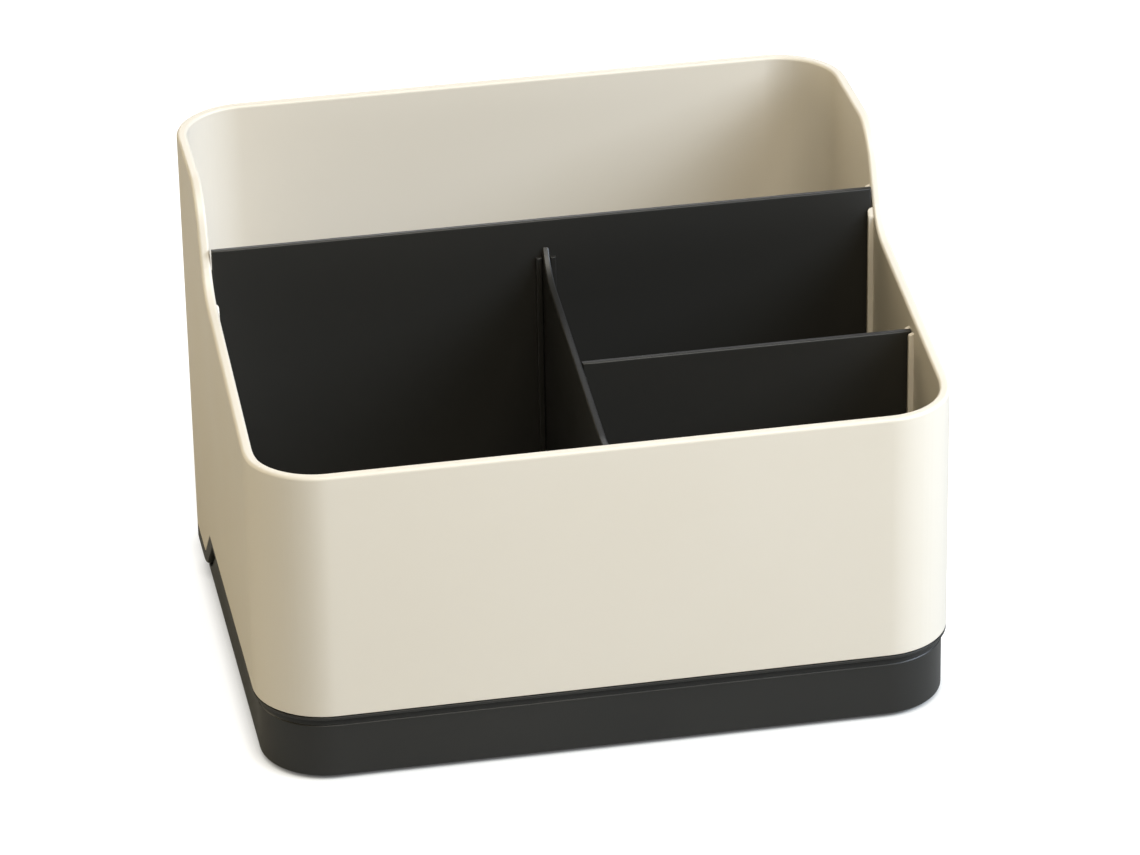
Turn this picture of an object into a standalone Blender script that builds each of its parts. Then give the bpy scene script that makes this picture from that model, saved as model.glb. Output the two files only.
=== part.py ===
"""Desk organizer: a cream shell on a dark stepped floor, with lift-out dividers and a pull-out tray.

Everything is in metres with +Z up. The origin is on the desk, under the middle of the footprint,
and the front of the organizer faces -Y. Depths are written from the front face and turned into
world Y by y_of(), so that they read the way a person would measure them.
"""
import math

import bmesh
import bpy
from mathutils import Matrix, Vector

MM = 0.001

# Driving dimensions.
WIDTH = 200 * MM
DEPTH = 166 * MM
HEIGHT = 136.6 * MM
FRONT_HEIGHT = 96 * MM
CORNER_RADIUS = 21 * MM
WALL = 3 * MM
GAP = 0.3 * MM
DIVIDER = 2 * MM
DIVIDER_DROP = 3.9 * MM
REACH = 260 * MM

# Side profile of the rim: a gentle run from the front, a steep rise, then the level back.
RUN_START = 14 * MM
RUN_SLOPE = 0.16
RISE_FOOT = (95 * MM, FRONT_HEIGHT + RUN_SLOPE * (95 * MM - RUN_START))
RISE_TOP = (108 * MM, HEIGHT)
RISE_FILLET = 16 * MM

# Side profile of the lower edge: high over the tray, then a slanted step down to the rear pan.
SHELL_FRONT_EDGE = 21 * MM
SHELL_REAR_EDGE = 8.5 * MM
STEP_TOP = 114 * MM
STEP_FOOT = 128 * MM

# The stepped floor.
DECK_UNDER = 19.8 * MM
DECK_TOP = 23 * MM
PAN_UNDER = 3.6 * MM
PAN_TOP = 5.6 * MM
RISER_DEPTH = 4.2 * MM
RISER_THICKNESS = 2.2 * MM
RISER_FILLET = 16 * MM
PLUG_WALL = 1.8 * MM
PLUG_RISE = 2 * MM

# Where the dividers stand.
REAR_DIVIDER_FRONT = 98.5 * MM
REAR_DIVIDER_TOP = 120.5 * MM
CROSS_DIVIDER_FRONT = 49.5 * MM
SLOT_RIB_WIDTH = 1.6 * MM
SLOT_RIB_REACH = 1.5 * MM
KEEPER_REACH = 1.2 * MM

# The pull-out tray.
TRAY_INSET = 1.3 * MM
TRAY_UNDER = 1 * MM
TRAY_TOP = 19.5 * MM
TRAY_WALL = 2.2 * MM
TRAY_FLOOR = 1.8 * MM
TRAY_BACK = 106 * MM
TRAY_BACK_TOP = 14.5 * MM
TRAY_TONGUE_END = 137 * MM
TRAY_TRAVEL = 75 * MM
TRAY_LIP = 3.1 * MM
TRAY_LIP_THICKNESS = 1.6 * MM

# Runners that carry the tray's lips, and the stop that ends its travel.
RUNNER_START = 18 * MM
RUNNER_END = 102 * MM
RUNNER_THICKNESS = 1.6 * MM
RUNNER_FOOT_UNDER = 15.5 * MM
RUNNER_WEB_OUTER = 92.5 * MM
RUNNER_FOOT_OUTER = 95.6 * MM
RUNNER_FLANGE_INNER = 82.5 * MM
STOP_WIDTH = 20 * MM
STOP_LEG = 4 * MM
STOP_UNDER = 12.5 * MM
STOP_FLANGE = 12 * MM

# Fasteners, feet and glides.
BOSS_RADIUS = 4.4 * MM
BOSS_HEIGHT = 8 * MM
BOSS_INSET = 14.6 * MM
SHELL_SCREW_RADIUS = 1.3 * MM
SHELL_SCREW_HEAD = 2.5 * MM
SHELL_SCREW_LENGTH = 7.5 * MM
SHELL_SCREW_SINK = 1.8 * MM
SMALL_SCREW_RADIUS = 1.0 * MM
SMALL_SCREW_HEAD = 2.2 * MM
SMALL_SCREW_LENGTH = 4.4 * MM
SCREW_HEAD_THICKNESS = 1.2 * MM
PAN_POST_RADIUS = 4.6 * MM
PAN_POST_TOP = 8.2 * MM
FOOT_RADIUS = 7 * MM
FOOT_PLACE = (68 * MM, 151 * MM)
GLIDE_RADIUS = 5 * MM
GLIDE_PLACES = {"front": (80 * MM, 17 * MM), "rear": (80 * MM, 128 * MM)}
SEAT_DEPTH = 0.6 * MM

ARC_STEPS = 9
ROUND_STEPS = 20
WELD = 0.00001

CREAM = ("cream_plastic", (0.73, 0.67, 0.58), 0.42, 0.0)
CHARCOAL = ("charcoal_plastic", (0.047, 0.045, 0.039), 0.5, 0.0)
SLIDE_GREY = ("slide_plastic", (0.16, 0.16, 0.15), 0.45, 0.0)
RUBBER = ("foot_rubber", (0.03, 0.03, 0.03), 0.85, 0.0)
STEEL = ("screw_steel", (0.55, 0.55, 0.53), 0.35, 1.0)


def y_of(from_front):
    """World Y of a depth measured from the front face."""
    return from_front - DEPTH / 2


# Outlines and profiles.

def arc(centre, radius, start, end, steps=ARC_STEPS):
    """Points along a circle's arc, with both ends, angles in degrees."""
    points = []
    for index in range(steps + 1):
        angle = math.radians(start + (end - start) * index / steps)
        points.append((centre[0] + radius * math.cos(angle), centre[1] + radius * math.sin(angle)))
    return points


def rounded_rectangle(left, right, front, back, front_radius, back_radius):
    """Plan outline with one radius for its two front corners and one for its two back corners."""
    corners = (
        (right - front_radius, front + front_radius, front_radius, -90),
        (right - back_radius, back - back_radius, back_radius, 0),
        (left + back_radius, back - back_radius, back_radius, 90),
        (left + front_radius, front + front_radius, front_radius, 180),
    )
    outline = []
    for x, y, radius, start in corners:
        outline += arc((x, y), radius, start, start + 90)
    return outline


def footprint(inset):
    """The organizer's own plan outline, moved inwards by an inset."""
    radius = CORNER_RADIUS - inset
    return rounded_rectangle(
        inset - WIDTH / 2, WIDTH / 2 - inset, y_of(inset), y_of(DEPTH - inset), radius, radius)


def rectangle(low, high):
    """Outline of a plain rectangle between two opposite corners."""
    return [(low[0], low[1]), (high[0], low[1]), (high[0], high[1]), (low[0], high[1])]


def rounded_path(corners):
    """Open path through (depth, height, fillet radius) corners, its inner corners rounded."""
    path = [corners[0][:2]]
    for before, corner, after in zip(corners, corners[1:], corners[2:]):
        point = Vector(corner[:2])
        radius = corner[2]
        back = (Vector(before[:2]) - point).normalized()
        ahead = (Vector(after[:2]) - point).normalized()
        if radius == 0:
            path.append(corner[:2])
            continue
        half = back.angle(ahead) / 2
        centre = point + (back + ahead).normalized() * radius / math.sin(half)
        start = point + back * radius / math.tan(half) - centre
        end = point + ahead * radius / math.tan(half) - centre
        turn = start.angle_signed(end)
        for index in range(ARC_STEPS + 1):
            angle = -turn * index / ARC_STEPS
            spoke = Matrix.Rotation(angle, 2) @ start
            path.append(tuple(centre + spoke))
    path.append(corners[-1][:2])
    return path


def rim_path(drop):
    """The rim seen from the side, lowered by a drop, from before the front to past the back."""
    return rounded_path([
        (-REACH, FRONT_HEIGHT - drop, 0),
        (RUN_START, FRONT_HEIGHT - drop, RISE_FILLET),
        (RISE_FOOT[0], RISE_FOOT[1] - drop, RISE_FILLET),
        (RISE_TOP[0], RISE_TOP[1] - drop, RISE_FILLET),
        (REACH, HEIGHT - drop, 0),
    ])


def rim_height(depth):
    """Height of the rim's straight runs at a depth, good enough to end a rib under it."""
    if depth < RISE_FOOT[0]:
        return FRONT_HEIGHT + max(0, depth - RUN_START) * RUN_SLOPE
    rise = (RISE_TOP[1] - RISE_FOOT[1]) / (RISE_TOP[0] - RISE_FOOT[0])
    return min(HEIGHT, RISE_FOOT[1] + (depth - RISE_FOOT[0]) * rise)


def step_path(offset, front, rear, fillet=0):
    """A path parallel to the shell's slanted step, joining a front level to a rear level."""
    along = Vector((STEP_FOOT - STEP_TOP, SHELL_REAR_EDGE - SHELL_FRONT_EDGE)).normalized()
    across = Vector((along.y, -along.x))
    anchor = Vector((STEP_TOP, SHELL_FRONT_EDGE)) + across * offset
    upper = anchor + along * (front - anchor.y) / along.y
    lower = anchor + along * (rear - anchor.y) / along.y
    return rounded_path([
        (-REACH, front, 0), (upper.x, front, 0), (lower.x, rear, fillet), (REACH, rear, 0)])


def between(lower, upper):
    """Closed side profile between two open paths, both running from front to back."""
    return lower + upper[::-1]


# Solids.

def finish_mesh(obj):
    """Weld the caps and turn every face outwards."""
    shape = bmesh.new()
    shape.from_mesh(obj.data)
    bmesh.ops.remove_doubles(shape, verts=shape.verts, dist=WELD)
    bmesh.ops.recalc_face_normals(shape, faces=shape.faces)
    shape.to_mesh(obj.data)
    shape.free()


def prism(name, outline, low, high, frame):
    """Solid of a flat outline, from low to high along the third axis of a frame."""
    curve = bpy.data.curves.new(name, "CURVE")
    curve.dimensions = "2D"
    curve.fill_mode = "BOTH"
    curve.extrude = (high - low) / 2
    spline = curve.splines.new("POLY")
    spline.points.add(len(outline) - 1)
    for point, (u, v) in zip(spline.points, outline):
        point.co = (u, v, 0, 1)
    spline.use_cyclic_u = True
    guide = bpy.data.objects.new(name, curve)
    bpy.context.scene.collection.objects.link(guide)
    guide.matrix_world = frame @ Matrix.Translation((0, 0, (low + high) / 2))
    bpy.context.view_layer.update()
    evaluated = guide.evaluated_get(bpy.context.evaluated_depsgraph_get())
    mesh = bpy.data.meshes.new_from_object(evaluated)
    mesh.transform(guide.matrix_world)
    bpy.data.objects.remove(guide)
    bpy.data.curves.remove(curve)
    solid = bpy.data.objects.new(name, mesh)
    finish_mesh(solid)
    return solid


def upright(name, outline, low, high):
    """Prism of a plan outline between two heights."""
    return prism(name, outline, low, high, Matrix.Identity(4))


def sideways(name, profile, low, high):
    """Prism of a side profile in (depth, height) between two X positions."""
    frame = Matrix(((0, 0, 1, 0), (1, 0, 0, y_of(0)), (0, 1, 0, 0), (0, 0, 0, 1)))
    return prism(name, profile, low, high, frame)


def lengthways(name, section, low, high):
    """Prism of a section in (x, height) between two depths from the front face."""
    frame = Matrix(((1, 0, 0, 0), (0, 0, 1, y_of(0)), (0, 1, 0, 0), (0, 0, 0, 1)))
    return prism(name, section, low, high, frame)


def block(name, low, high):
    """Box between two corners given as (x, depth, height)."""
    outline = rectangle((low[0], y_of(low[1])), (high[0], y_of(high[1])))
    return upright(name, outline, low[2], high[2])


def turned(name, profile, place):
    """Solid of revolution about +Z from a profile that runs down its outer side."""
    mesh = bpy.data.meshes.new(name)
    points = [(radius, 0, height) for radius, height in profile]
    mesh.from_pydata(points, [(i, i + 1) for i in range(len(points) - 1)], [])
    solid = bpy.data.objects.new(name, mesh)
    solid.location = (place[0], y_of(place[1]), 0)
    screw = solid.modifiers.new("turn", "SCREW")
    screw.steps = ROUND_STEPS
    screw.render_steps = ROUND_STEPS
    screw.use_merge_vertices = True
    screw.merge_threshold = WELD
    screw.use_smooth_shade = False
    return solid


def post(name, radius, low, high, place):
    """Round post between two heights."""
    return turned(name, [(0, high), (radius, high), (radius, low), (0, low)], place)


def combine(obj, tools, operation):
    """Join, cut or intersect a solid with others, by EXACT Boolean modifiers."""
    for tool in tools:
        CUTTERS.objects.link(tool)
        tool.hide_render = True
        tool.display_type = "WIRE"
        modifier = obj.modifiers.new(tool.name, "BOOLEAN")
        modifier.operation = operation
        modifier.solver = "EXACT"
        modifier.object = tool


def add_part(obj, name, material):
    """Name a finished piece, give it its material and put it in the organizer's collection."""
    obj.name = name
    obj.data.name = name
    slot, colour, roughness, metallic = material
    surface = bpy.data.materials.get(slot)
    if surface is None:
        surface = bpy.data.materials.new(slot)
        surface.use_nodes = True
        shader = surface.node_tree.nodes["Principled BSDF"]
        shader.inputs["Base Color"].default_value = (*colour, 1)
        shader.inputs["Roughness"].default_value = roughness
        shader.inputs["Metallic"].default_value = metallic
        surface.diffuse_color = (*colour, 1)
    obj.data.materials.clear()
    obj.data.materials.append(surface)
    ORGANIZER.objects.link(obj)
    return obj


# Places that several pieces share.

def boss_places():
    """Plan position of the screw in each corner, by its name."""
    reach = CORNER_RADIUS - BOSS_INSET * math.sqrt(0.5)
    side = WIDTH / 2 - reach
    return {
        "front_left": (-side, reach),
        "front_right": (side, reach),
        "rear_left": (-side, DEPTH - reach),
        "rear_right": (side, DEPTH - reach),
    }


def boss_floor(corner):
    """Height at which the shell's boss starts, just above the floor it is screwed to."""
    if corner.startswith("front"):
        return DECK_TOP + GAP
    return SHELL_REAR_EDGE + PLUG_RISE + 2 * GAP


def screw_seat(corner):
    """Height of the top of a shell screw's head, sunk in the floor."""
    under = DECK_UNDER if corner.startswith("front") else PAN_UNDER
    return under + SHELL_SCREW_SINK


# Shell and dividers.

def slot_ribs(name, front, sides, low):
    """Pairs of upright ribs on the side walls that hold one divider's ends between them."""
    ribs = []
    for side in sides:
        inner = side * (WIDTH / 2 - WALL - SLOT_RIB_REACH)
        outer = side * (WIDTH / 2 - WALL / 2)
        for start in (front - GAP - SLOT_RIB_WIDTH, front + DIVIDER + GAP):
            high = rim_height(start) - DIVIDER_DROP
            ribs.append(block(
                f"{name} rib", (min(inner, outer), start, low),
                (max(inner, outer), start + SLOT_RIB_WIDTH, high)))
    return ribs


def front_ribs(low):
    """The two ribs behind the front wall that hold the long divider's front end."""
    ribs = []
    for side in (-1, 1):
        near = side * (DIVIDER / 2 + GAP)
        far = side * (DIVIDER / 2 + GAP + SLOT_RIB_WIDTH)
        ribs.append(block(
            "front rib", (min(near, far), WALL / 2, low),
            (max(near, far), WALL + SLOT_RIB_REACH, FRONT_HEIGHT - 2 * DIVIDER_DROP)))
    return ribs


def outer_shell():
    """Cream sleeve: rounded walls, S-curved rim, stepped lower edge, slot ribs and screw bosses."""
    shell = upright("shell", footprint(0), 0, REACH)
    combine(shell, [upright("shell hollow", footprint(WALL), -REACH, 2 * REACH)], "DIFFERENCE")
    edge = step_path(0, SHELL_FRONT_EDGE, SHELL_REAR_EDGE)
    profile = between(edge, rim_path(0))
    combine(shell, [sideways("shell profile", profile, -REACH, REACH)], "INTERSECT")
    low = DECK_TOP + 2 * GAP
    ribs = slot_ribs("rear slot", REAR_DIVIDER_FRONT, (-1, 1), low)
    ribs += slot_ribs("cross slot", CROSS_DIVIDER_FRONT, (1,), low)
    ribs += front_ribs(low)
    bosses = []
    holes = []
    for corner, place in boss_places().items():
        start = boss_floor(corner)
        bosses.append(post(f"{corner} boss", BOSS_RADIUS, start, start + BOSS_HEIGHT, place))
        top = screw_seat(corner) + SHELL_SCREW_LENGTH + GAP
        holes.append(post(f"{corner} bore", SHELL_SCREW_RADIUS + GAP, start - GAP, top, place))
    combine(shell, ribs + bosses, "UNION")
    combine(shell, holes, "DIFFERENCE")
    return add_part(shell, "outer_shell", CREAM)


def rear_divider():
    """Full-width panel between the front compartments and the tall rear one."""
    half = WIDTH / 2 - WALL - GAP
    low = DECK_TOP + GAP
    back = REAR_DIVIDER_FRONT + DIVIDER
    panel = block("rear", (-half, REAR_DIVIDER_FRONT, low), (half, back, REAR_DIVIDER_TOP))
    keepers = []
    for side in (-1, 1):
        near = side * (DIVIDER / 2 + GAP)
        far = side * (DIVIDER / 2 + GAP + SLOT_RIB_WIDTH)
        keepers.append(block(
            "keeper", (min(near, far), REAR_DIVIDER_FRONT - KEEPER_REACH, low),
            (max(near, far), REAR_DIVIDER_FRONT + DIVIDER / 2, RISE_FOOT[1])))
    combine(panel, keepers, "UNION")
    return add_part(panel, "rear_divider", CHARCOAL)


def long_divider():
    """Front-to-back panel whose top follows the rim, with a slot for the cross divider."""
    low = DECK_TOP + GAP
    panel = block(
        "long", (-DIVIDER / 2, WALL + GAP, low),
        (DIVIDER / 2, REAR_DIVIDER_FRONT - GAP, HEIGHT))
    cover = between([(-REACH, 0), (REACH, 0)], rim_path(DIVIDER_DROP))
    combine(panel, [sideways("long profile", cover, -REACH, REACH)], "INTERSECT")
    keepers = []
    for start in (CROSS_DIVIDER_FRONT - GAP - SLOT_RIB_WIDTH, CROSS_DIVIDER_FRONT + DIVIDER + GAP):
        top = rim_height(CROSS_DIVIDER_FRONT) - 2 * DIVIDER_DROP
        keepers.append(block(
            "cross keeper", (0, start, low),
            (DIVIDER / 2 + KEEPER_REACH, start + SLOT_RIB_WIDTH, top)))
    combine(panel, keepers, "UNION")
    return add_part(panel, "long_divider", CHARCOAL)


def cross_divider():
    """Short panel from the long divider to the right-hand wall."""
    low = DECK_TOP + GAP
    top = rim_height(CROSS_DIVIDER_FRONT) - DIVIDER_DROP
    panel = block(
        "cross", (DIVIDER / 2 + GAP, CROSS_DIVIDER_FRONT, low),
        (WIDTH / 2 - WALL - GAP, CROSS_DIVIDER_FRONT + DIVIDER, top))
    return add_part(panel, "cross_divider", CHARCOAL)


# Floor, runners and stop.

def runner_screw_places():
    """Plan position of each runner screw, by the runner's side and the screw's end."""
    middle = (RUNNER_FLANGE_INNER + RUNNER_WEB_OUTER - RUNNER_THICKNESS) / 2
    places = {}
    for side, sign in (("left", -1), ("right", 1)):
        places[f"{side}_front"] = (sign * middle, RUNNER_START + 12 * MM)
        places[f"{side}_rear"] = (sign * middle, RUNNER_END - 12 * MM)
    return places


def stop_front():
    """Depth of the stop's front face, so that the tray's back wall meets it at full travel."""
    return TRAY_BACK - TRAY_TRAVEL - GAP - STOP_LEG


def stop_screw_place():
    """Plan position of the screw through the stop's flange."""
    return (0, stop_front() + STOP_LEG + STOP_FLANGE / 2)


def stepped_floor():
    """Deck over the tray, slanted riser and rear pan, moulded as one dark piece."""
    under = step_path(RISER_DEPTH, DECK_UNDER, PAN_UNDER, RISER_FILLET)
    edge = step_path(GAP, SHELL_FRONT_EDGE - GAP, SHELL_REAR_EDGE - GAP)
    plug_under = step_path(
        RISER_DEPTH / 2, (DECK_UNDER + SHELL_FRONT_EDGE) / 2, (PAN_UNDER + SHELL_REAR_EDGE) / 2)
    plug_top = step_path(-PLUG_RISE, DECK_TOP, SHELL_REAR_EDGE + PLUG_RISE)
    floor_top = step_path(RISER_DEPTH - RISER_THICKNESS, DECK_TOP + PLUG_WALL, PAN_TOP)
    sky = [(-REACH, REACH), (REACH, REACH)]

    floor = upright("floor", footprint(0), 0, REACH)
    combine(floor, [sideways("flange", between(under, edge), -REACH, REACH)], "INTERSECT")
    plug = upright("plug", footprint(WALL + GAP), 0, REACH)
    plug_profile = sideways("plug profile", between(plug_under, plug_top), -REACH, REACH)
    combine(plug, [plug_profile], "INTERSECT")
    hollow = upright("hollow", footprint(WALL + GAP + PLUG_WALL), 0, 2 * REACH)
    above = sideways("above floor", between(floor_top, sky), -REACH, REACH)
    combine(hollow, [above], "INTERSECT")
    combine(floor, [plug], "UNION")
    combine(floor, [hollow], "DIFFERENCE")

    posts = []
    holes = []
    for corner, place in boss_places().items():
        if corner.startswith("rear"):
            posts.append(post(f"{corner} post", PAN_POST_RADIUS, PAN_UNDER + GAP, PAN_POST_TOP, place))
        seat = screw_seat(corner)
        head = SHELL_SCREW_HEAD + GAP
        shank = SHELL_SCREW_RADIUS + GAP
        holes.append(turned(
            f"{corner} hole",
            [(0, DECK_TOP + 1 * MM), (shank, DECK_TOP + 1 * MM), (shank, seat), (head, seat),
             (head, 0), (0, 0)], place))
    small = SMALL_SCREW_RADIUS + GAP
    small_top = DECK_UNDER - RUNNER_THICKNESS - 2 * GAP + SMALL_SCREW_LENGTH + GAP
    for name, place in runner_screw_places().items():
        holes.append(post(f"{name} pilot", small, 0, small_top, place))
    holes.append(post("stop pilot", small, 0, small_top, stop_screw_place()))
    for side in (-1, 1):
        place = (side * FOOT_PLACE[0], FOOT_PLACE[1])
        holes.append(post("foot seat", FOOT_RADIUS + GAP, 0, PAN_UNDER + SEAT_DEPTH, place))
    combine(floor, posts, "UNION")
    combine(floor, holes, "DIFFERENCE")
    return add_part(floor, "stepped_floor", CHARCOAL)


def runner(side, sign):
    """Z-shaped rail under the deck that carries one lip of the tray."""
    top = DECK_UNDER - GAP
    web = RUNNER_WEB_OUTER - RUNNER_THICKNESS
    section = [
        (RUNNER_FLANGE_INNER, top - RUNNER_THICKNESS), (web, top - RUNNER_THICKNESS),
        (web, RUNNER_FOOT_UNDER), (RUNNER_FOOT_OUTER, RUNNER_FOOT_UNDER),
        (RUNNER_FOOT_OUTER, RUNNER_FOOT_UNDER + RUNNER_THICKNESS),
        (RUNNER_WEB_OUTER, RUNNER_FOOT_UNDER + RUNNER_THICKNESS), (RUNNER_WEB_OUTER, top),
        (RUNNER_FLANGE_INNER, top),
    ]
    section = [(sign * x, z) for x, z in section]
    rail = lengthways(f"{side} rail", section, RUNNER_START, RUNNER_END)
    holes = []
    for name, place in runner_screw_places().items():
        if name.startswith(side):
            holes.append(post(f"{name} clearance", SMALL_SCREW_RADIUS + GAP, 0, REACH, place))
    combine(rail, holes, "DIFFERENCE")
    return add_part(rail, f"{side}_runner", SLIDE_GREY)


def drawer_stop():
    """Angle under the deck whose leg catches the tray's back wall."""
    top = DECK_UNDER - GAP
    front = stop_front()
    back = front + STOP_LEG + STOP_FLANGE
    profile = [
        (front, STOP_UNDER), (front + STOP_LEG, STOP_UNDER),
        (front + STOP_LEG, top - RUNNER_THICKNESS), (back, top - RUNNER_THICKNESS),
        (back, top), (front, top),
    ]
    stop = sideways("stop", profile, -STOP_WIDTH / 2, STOP_WIDTH / 2)
    hole = post("stop clearance", SMALL_SCREW_RADIUS + GAP, 0, REACH, stop_screw_place())
    combine(stop, [hole], "DIFFERENCE")
    return add_part(stop, "drawer_stop", SLIDE_GREY)


# Pull-out tray.

def drawer_tray():
    """Shallow tray with rounded front corners, lips for the runners and a tongue at the back."""
    half = WIDTH / 2 - TRAY_INSET
    inner = half - TRAY_WALL
    radius = CORNER_RADIUS - TRAY_INSET
    tail = 6 * MM
    outline = rounded_rectangle(
        -half, half, y_of(TRAY_INSET), y_of(TRAY_TONGUE_END), radius, tail)
    tray = upright("tray", outline, TRAY_UNDER, TRAY_TOP)
    floor_top = TRAY_UNDER + TRAY_FLOOR
    cover = step_path(RISER_DEPTH + 1 * MM, TRAY_TOP + 1 * MM, floor_top)
    profile = between([(-REACH, 0), (REACH, 0)], cover)
    combine(tray, [sideways("tray profile", profile, -REACH, REACH)], "INTERSECT")
    front = TRAY_INSET + TRAY_WALL
    cavity = rounded_rectangle(
        -inner, inner, y_of(front), y_of(TRAY_BACK), radius - TRAY_WALL, 2 * MM)
    behind = TRAY_BACK + TRAY_WALL
    cuts = [
        upright("tray cavity", cavity, floor_top, REACH),
        block("behind back wall", (-inner, behind, floor_top), (inner, REACH, REACH)),
        block("low back wall", (-inner, front + radius, TRAY_BACK_TOP), (inner, REACH, REACH)),
    ]
    combine(tray, cuts, "DIFFERENCE")
    lips = []
    for side in (-1, 1):
        near = side * (inner - TRAY_LIP)
        far = side * (inner + TRAY_WALL / 2)
        lips.append(block(
            "tray lip", (min(near, far), RUNNER_START, TRAY_TOP - TRAY_LIP_THICKNESS),
            (max(near, far), TRAY_BACK, TRAY_TOP)))
    combine(tray, lips, "UNION")
    seats = []
    for name, (x, depth) in GLIDE_PLACES.items():
        for side in (-1, 1):
            seats.append(post(
                f"{name} glide seat", GLIDE_RADIUS + GAP, 0, TRAY_UNDER + SEAT_DEPTH,
                (side * x, depth)))
    combine(tray, seats, "DIFFERENCE")
    return add_part(tray, "drawer_tray", CHARCOAL)


# Small pieces.

def screw(name, radius, head, length, seat, place):
    """Pan-head screw pointing up, its head's top at the seat."""
    top = seat - GAP
    bottom = top - SCREW_HEAD_THICKNESS
    tip = top + length
    chamfer = 0.4 * MM
    profile = [
        (0, tip), (radius - chamfer, tip), (radius, tip - chamfer), (radius, top), (head, top),
        (head, bottom + chamfer), (head - chamfer, bottom), (0, bottom),
    ]
    return add_part(turned(name, profile, place), name, STEEL)


def shell_screws():
    """One screw in each corner, up through the floor into the shell's boss."""
    for corner, place in boss_places().items():
        screw(f"{corner}_shell_screw", SHELL_SCREW_RADIUS, SHELL_SCREW_HEAD,
              SHELL_SCREW_LENGTH, screw_seat(corner), place)


def small_screws():
    """The screws that hold the runners and the stop under the deck."""
    seat = DECK_UNDER - GAP - RUNNER_THICKNESS
    for name, place in runner_screw_places().items():
        screw(f"{name}_runner_screw", SMALL_SCREW_RADIUS, SMALL_SCREW_HEAD,
              SMALL_SCREW_LENGTH, seat, place)
    screw("drawer_stop_screw", SMALL_SCREW_RADIUS, SMALL_SCREW_HEAD,
          SMALL_SCREW_LENGTH, seat, stop_screw_place())


def pad(name, radius, top, place, material):
    """Round pad standing on the desk, with a chamfered lower edge."""
    chamfer = 0.4 * MM
    profile = [(0, top), (radius, top), (radius, chamfer), (radius - chamfer, 0), (0, 0)]
    return add_part(turned(name, profile, place), name, material)


def feet_and_glides():
    """Rubber feet under the rear pan and smooth glides under the tray."""
    for side, sign in (("left", -1), ("right", 1)):
        pad(f"rear_{side}_foot", FOOT_RADIUS, PAN_UNDER + SEAT_DEPTH - GAP,
            (sign * FOOT_PLACE[0], FOOT_PLACE[1]), RUBBER)
        for end, (x, depth) in GLIDE_PLACES.items():
            pad(f"drawer_{end}_{side}_glide", GLIDE_RADIUS, TRAY_UNDER + SEAT_DEPTH - GAP,
                (sign * x, depth), SLIDE_GREY)


# Build.

for old in list(bpy.data.objects):
    bpy.data.objects.remove(old)
ORGANIZER = bpy.data.collections.new("desk_organizer")
CUTTERS = bpy.data.collections.new("cutters")
for group in (ORGANIZER, CUTTERS):
    bpy.context.scene.collection.children.link(group)

outer_shell()
rear_divider()
long_divider()
cross_divider()
stepped_floor()
runner("left", -1)
runner("right", 1)
drawer_stop()
drawer_tray()
shell_screws()
small_screws()
feet_and_glides()
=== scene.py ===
"""Desk organizer: the finished look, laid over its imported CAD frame.

Every piece is a surface worked out with numpy in metres, in the frame's own axes, and stands for
one CAD node. Depths are measured from the front face, and widths from the middle.
"""

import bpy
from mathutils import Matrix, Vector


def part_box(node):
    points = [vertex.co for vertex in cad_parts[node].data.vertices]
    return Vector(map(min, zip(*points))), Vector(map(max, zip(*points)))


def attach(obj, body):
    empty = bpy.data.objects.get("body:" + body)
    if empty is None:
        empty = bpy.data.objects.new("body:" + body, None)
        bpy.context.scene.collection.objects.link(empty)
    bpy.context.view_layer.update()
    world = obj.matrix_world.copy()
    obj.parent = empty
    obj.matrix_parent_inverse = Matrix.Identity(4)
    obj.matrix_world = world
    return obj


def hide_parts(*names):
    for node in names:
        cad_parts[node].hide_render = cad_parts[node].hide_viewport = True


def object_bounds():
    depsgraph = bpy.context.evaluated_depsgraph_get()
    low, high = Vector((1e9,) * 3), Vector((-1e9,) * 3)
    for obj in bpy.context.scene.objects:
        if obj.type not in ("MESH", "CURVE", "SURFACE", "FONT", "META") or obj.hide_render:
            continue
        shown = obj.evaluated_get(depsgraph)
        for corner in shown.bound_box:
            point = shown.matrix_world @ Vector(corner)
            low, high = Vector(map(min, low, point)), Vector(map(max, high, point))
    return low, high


bl_info = {
    "name": "Desk Organizer",
    "version": (1, 0, 0),
    "blender": (4, 5, 0),
    "location": "View3D > Sidebar > Organizer",
    "description": "Builds a desk organizer with lift-out dividers and a pull-out tray",
    "category": "Object",
}

import math

import bmesh
import bpy
import numpy as np
from mathutils import Matrix, Vector

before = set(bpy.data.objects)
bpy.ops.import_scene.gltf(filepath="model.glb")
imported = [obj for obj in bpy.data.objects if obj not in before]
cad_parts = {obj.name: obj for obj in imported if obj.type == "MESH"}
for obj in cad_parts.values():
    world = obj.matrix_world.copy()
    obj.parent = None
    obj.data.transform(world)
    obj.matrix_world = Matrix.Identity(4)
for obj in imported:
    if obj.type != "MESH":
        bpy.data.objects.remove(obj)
CAD_LOW, CAD_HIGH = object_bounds()

MM = 0.001
WIDTH = CAD_HIGH.x - CAD_LOW.x
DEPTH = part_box("outer_shell")[1].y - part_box("outer_shell")[0].y
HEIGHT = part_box("outer_shell")[1].z
FRONT_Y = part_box("outer_shell")[0].y

ARC_STEPS = 6
FILLET_STEPS = 14
CORNER_COLUMNS = 22
TURN_STEPS = 48
SHARP_ANGLE = math.radians(38)
WELD = 0.002 * MM
CLEARANCE = 0.3 * MM
NUDGE = 0.05 * MM

# Depths between which the rim bends most, where the columns stand closer.
STEEP_FROM, STEEP_TO = 84 * MM, 122 * MM

# Screw posts and holes.
POST_RADIUS, POST_TOP, POST_EDGE = 4.6 * MM, 8.2 * MM, 0.2 * MM
HEAD_SEAT, SHANK_HOLE, PILOT_HOLE = 1.5 * MM, 1.6 * MM, 1.3 * MM
SHELL_HOLE_TOP, PILOT_TOP = 24 * MM, 30 * MM

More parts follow.
